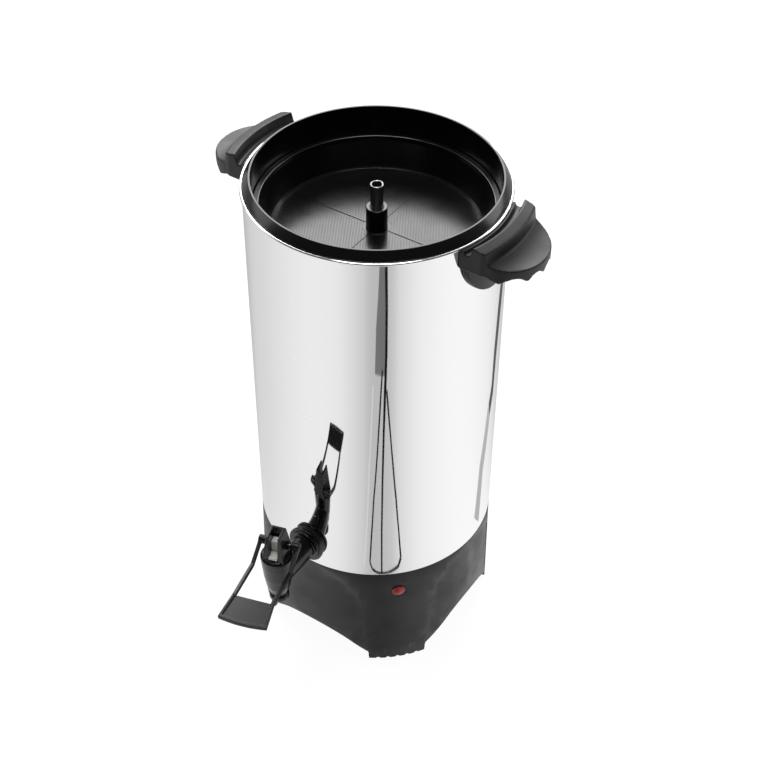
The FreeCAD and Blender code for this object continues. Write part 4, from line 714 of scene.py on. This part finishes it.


# %% [markdown]
# The steel wall mirrors the floor all round, and each upright stripe on it is one direction on
# the floor. So the floor carries a painted reflection: in mirrors its brightness follows the angle round
# the urn, a painted light sweep on each side, falling off to painted shade behind and straight in front.

# %% Floor with painted pools of light and shade, seen only in mirrors
# Painted reflection greys, by degrees round the urn: light sweeps at the sides, painted shade behind and in
# front.
PAINTED_REFLECTION_GREYS = ((-180, "#B4B4B4"), (-150, "#ABABAB"), (-132, "#CCCCCC"), (-113, "#D4D4D4"),
    (-97, "#D9D9D9"),
                  (-63, "#EDEDED"), (-29, "#EBEBEB"), (-10, "#C8C8C8"), (-2, "#B4B4B4"), (12, "#C1C1C1"),
                  (18, "#D7D7D7"), (34, "#EDEDED"), (60, "#F7F7F7"), (87, "#F8F8F8"), (110, "#EBEBEB"),
                  (124, "#DFDFDF"), (140, "#C4C4C4"), (160, "#B4B4B4"), (180, "#B4B4B4"))
STEEL_REFLECTANCE = 0.8


def floor_material(name, colour, seen):
    """Studio floor: plain to the camera, lit for everything else, and with painted light and shade bands in
    mirrors.
    """
    material = bpy.data.materials.new(name)
    material.use_nodes = True
    tree = material.node_tree
    tree.nodes.clear()
    rays = add(tree, "ShaderNodeLightPath")
    place = add(tree, "ShaderNodeTexCoord").outputs["Object"]
    turned_place = add(tree, "ShaderNodeVectorRotate", {"rotation_type": "Z_AXIS"}, {
        "Vector": place, "Angle": -CAMERA_YAW}).outputs[0]
    axes = add(tree, "ShaderNodeSeparateXYZ", inputs={0: turned_place})
    away = add(tree, "ShaderNodeMath", {"operation": "MULTIPLY"}, {0: axes.outputs["Y"], 1: -1.0})
    angle = add(tree, "ShaderNodeMath", {"operation": "ARCTAN2"}, {0: axes.outputs["X"], 1: away.outputs[0]})
    turn = add(tree, "ShaderNodeMapRange", inputs={"Value": angle.outputs[0], "From Min": -math.pi,
                                                  "From Max": math.pi})
    painted_reflection_bands = add(tree, "ShaderNodeValToRGB", inputs={0: turn.outputs[0]})
    ramp = painted_reflection_bands.color_ramp
    ramp.interpolation = "B_SPLINE"
    while len(ramp.elements) < len(PAINTED_REFLECTION_GREYS):
        ramp.elements.new(0.5)
    for element, (degrees, grey) in zip(ramp.elements, PAINTED_REFLECTION_GREYS):
        element.position = (degrees + 180) / 360
        element.color = linear(grey)
    lit = add(tree, "ShaderNodeBsdfDiffuse", inputs={"Color": linear(colour)})
    shown = add(tree, "ShaderNodeEmission", inputs={"Color": linear(colour), "Strength": seen})
    # Painted reflection: glossy and transmission rays see these greys as painted light and shade on the
    # floor.
    glossy = add(tree, "ShaderNodeEmission", inputs={"Color": painted_reflection_bands.outputs[0],
        "Strength": 1 / STEEL_REFLECTANCE})
    soft = add(tree, "ShaderNodeMixShader", inputs={0: 0.9, 1: lit.outputs[0], 2: shown.outputs[0]})
    first = add(tree, "ShaderNodeMixShader", inputs={0: rays.outputs["Is Camera Ray"], 1: lit.outputs[0],
        2: soft.outputs[0]})
    either = add(tree, "ShaderNodeMath", {"operation": "MAXIMUM"},
                 {0: rays.outputs["Is Glossy Ray"], 1: rays.outputs["Is Transmission Ray"]})
    last = add(tree, "ShaderNodeMixShader", inputs={0: either.outputs[0], 1: first.outputs[0],
        2: glossy.outputs[0]})
    add(tree, "ShaderNodeOutputMaterial", inputs={"Surface": last.outputs[0]})
    return material


floor_mesh = bpy.data.meshes.new("studio_floor")
floor_work = bmesh.new()
bmesh.ops.create_circle(floor_work, cap_ends=True, segments=96, radius=8.0)
bmesh.ops.translate(floor_work, verts=floor_work.verts, vec=(0, 0, -0.0006))
floor_work.to_mesh(floor_mesh)
floor_work.free()
floor_mesh.materials.append(floor_material("studio_floor", "#FFFFFF", 1.06))
floor = bpy.data.objects.new("studio_floor", floor_mesh)
bpy.context.scene.collection.objects.link(floor)

# %% [markdown]
# A polished can needs something dark to mirror, or it looks flat. Here that is painted reflection:
# these strips lie in front of the urn and are seen only in mirrors, as dark lines in the steel;
# to the camera and to the lamps they are clear.

# %% Painted reflections: strips on the floor, seen only in mirrors
# Painted reflection: a grey that only glossy rays see; to every other ray the strip is clear.
def card_material(name, grey):
    material = bpy.data.materials.new(name)
    material.use_nodes = True
    tree = material.node_tree
    tree.nodes.clear()
    rays = add(tree, "ShaderNodeLightPath")
    clear = add(tree, "ShaderNodeBsdfTransparent")
    dark = add(tree, "ShaderNodeEmission", inputs={"Color": linear(grey), "Strength": 1 / STEEL_REFLECTANCE})
    mix = add(tree, "ShaderNodeMixShader", inputs={0: rays.outputs["Is Glossy Ray"], 1: clear.outputs[0],
                                                  2: dark.outputs[0]})
    add(tree, "ShaderNodeOutputMaterial", inputs={"Surface": mix.outputs[0]})
    return material


def card(name, material, lift, *stations):
    """Painted reflection strip through stations (right, beyond, width), all in millimetres as the camera sees
    them.
    """
    work = bmesh.new()
    rails = []
    for index, (right_of, beyond, width) in enumerate(stations):
        before = Vector(stations[max(index - 1, 0)][:2])
        after = Vector(stations[min(index + 1, len(stations) - 1)][:2])
        along = (after - before).normalized()
        side = Vector((along.y, -along.x)) * width / 2
        middle = Vector((right_of, beyond))
        rails.append([work.verts.new(seen_place(*((middle + side * way) * MM), lift * MM)) for way in (-1,
            1)])
    for (a, b), (c, d) in zip(rails, rails[1:]):
        work.faces.new((a, b, d, c))
    bmesh.ops.recalc_face_normals(work, faces=work.faces)
    mesh = bpy.data.meshes.new(name)
    work.to_mesh(mesh)
    work.free()
    mesh.materials.append(material)
    made = bpy.data.objects.new(name, mesh)
    bpy.context.scene.collection.objects.link(made)


# Painted reflections, black to pale: each grey is a line painted into what the steel mirrors.
PAINTED_BLACK_REFLECTION = card_material("painted_black_reflection", "#161616")
PAINTED_SLATE_REFLECTION = card_material("painted_slate_reflection", "#707070")
PAINTED_DARK_REFLECTION = card_material("painted_dark_reflection", "#5A5A5A")
PAINTED_GREY_REFLECTION = card_material("painted_grey_reflection", "#B0B0B0")
PAINTED_PALE_REFLECTION = card_material("painted_pale_reflection", "#D0D0D0")
card("painted_reflection_left", PAINTED_BLACK_REFLECTION, -0.3, (-19, -262, 5), (-17, -301, 6), (-10, -363, 7), (3, -419, 8),
    (19, -487, 10),
     (36, -553, 12), (52, -602, 11))
card("painted_reflection_middle", PAINTED_BLACK_REFLECTION, -0.3, (20, -245, 5), (26, -312, 7), (37, -395, 10), (53, -484, 14),
    (69, -554, 19),
     (88, -628, 21), (104, -735, 26), (108, -827, 33))
card("painted_reflection_right", PAINTED_BLACK_REFLECTION, -0.3, (88, -251, 6), (96, -294, 6), (101, -346, 8), (100, -410, 9),
    (96, -467, 9),
     (88, -526, 12), (83, -557, 11))
card("painted_reflection_end", PAINTED_BLACK_REFLECTION, -0.3, (-19, -262, 4), (-10, -252, 4), (5, -247, 4), (20, -245, 4), (37, -243, 4),
     (55, -242, 5), (75, -242, 6), (88, -251, 7))
card("painted_reflection_sheet", PAINTED_SLATE_REFLECTION, -0.4, (34, -591, 90), (44, -687, 94), (63, -775, 84), (72, -833, 79))
card("painted_reflection_side", PAINTED_DARK_REFLECTION, -0.3, (438, 469, 90), (420, 383, 80), (385, 298, 62), (345, 240, 46),
    (343, 185, 35))
card("painted_reflection_side_end", PAINTED_GREY_REFLECTION, -0.3, (343, 185, 44), (316, 124, 41), (295, 78, 37), (228, 17, 32))
card("painted_reflection_faint", PAINTED_PALE_REFLECTION, -0.3, (-25, -573, 9), (-39, -413, 8), (-38, -254, 6))
print("cards laid")

# %% [markdown]
# The room itself is dim above the camera and brighter beyond the urn, so that black mouldings
# keep their black where they face the camera and only their far edges catch light.

# %% Room
world = bpy.data.worlds.new("studio")
world.use_nodes = True
sky = world.node_tree
sky.nodes.clear()
sky_rays = add(sky, "ShaderNodeLightPath")
sky_way = add(sky, "ShaderNodeTexCoord").outputs["Generated"]
facing = add(sky, "ShaderNodeVectorMath", {"operation": "DOT_PRODUCT"},
    {0: sky_way, 1: (TOWARDS.x, TOWARDS.y, 0.1)})
dimness = add(sky, "ShaderNodeMapRange", inputs={"Value": facing.outputs["Value"], "From Min": -0.3,
    "From Max": 0.7,
                                                "To Min": 0.10, "To Max": 0.42})
white_sky = add(sky, "ShaderNodeBackground", inputs={"Color": linear("#FFFFFF"), "Strength": 1.0})
room = add(sky, "ShaderNodeBackground", inputs={"Color": linear("#FFFFFF"), "Strength": dimness.outputs[0]})
sky_mix = add(sky, "ShaderNodeMixShader", inputs={0: sky_rays.outputs["Is Camera Ray"], 1: room.outputs[0],
                                                  2: white_sky.outputs[0]})
add(sky, "ShaderNodeOutputWorld", inputs={"Surface": sky_mix.outputs[0]})
bpy.context.scene.world = world
print("floor and room ready")

# %% Camera
camera_data = bpy.data.cameras.new("camera")
SENSOR_WIDTH, PICTURE_PIXELS, FOCAL_PIXELS = 36, 768, 1478.97
camera_data.sensor_width = SENSOR_WIDTH
camera_data.lens = FOCAL_PIXELS / PICTURE_PIXELS * SENSOR_WIDTH
camera_data.clip_end = 50
camera = bpy.data.objects.new("camera", camera_data)
bpy.context.scene.collection.objects.link(camera)
right = Vector((0.831724, 0.555152, 0.006429))
up = Vector((-0.374554, 0.552531, 0.744593))
forward = Vector((-0.409810, 0.621704, -0.667488))
turn_matrix = Matrix((right, up, -forward)).transposed().to_4x4()
camera.matrix_world = Matrix.Translation((0.63432, -0.94754, 1.31433)) @ turn_matrix
bpy.context.scene.camera = camera

# %% Lights
def panel(name, right_of, beyond, height, width, tall, power, target=(0, 0, 0.4)):
    """Soft box at a place given as the camera sees it, aimed at the urn."""
    data = bpy.data.lights.new(name, "AREA")
    data.shape = "RECTANGLE"
    data.size = width
    data.size_y = tall
    data.energy = power
    lamp = bpy.data.objects.new(name, data)
    lamp.location = seen_place(right_of, beyond, height)
    lamp.rotation_euler = (Vector(target) - lamp.location).to_track_quat("-Z", "Y").to_euler()
    bpy.context.scene.collection.objects.link(lamp)
    return lamp


panel("back_panel", 0.0, 2.2, 2.0, 2.6, 1.6, 80)
panel("right_panel", 2.2, 0.9, 1.5, 1.2, 1.6, 16)
panel("left_panel", -2.2, 0.7, 1.6, 1.2, 1.6, 10)
panel("top_panel", 0.0, 0.2, 3.0, 1.2, 0.8, 42)
print("lights ready")

# %% Finish
bpy.context.scene.view_settings.view_transform = "Standard"
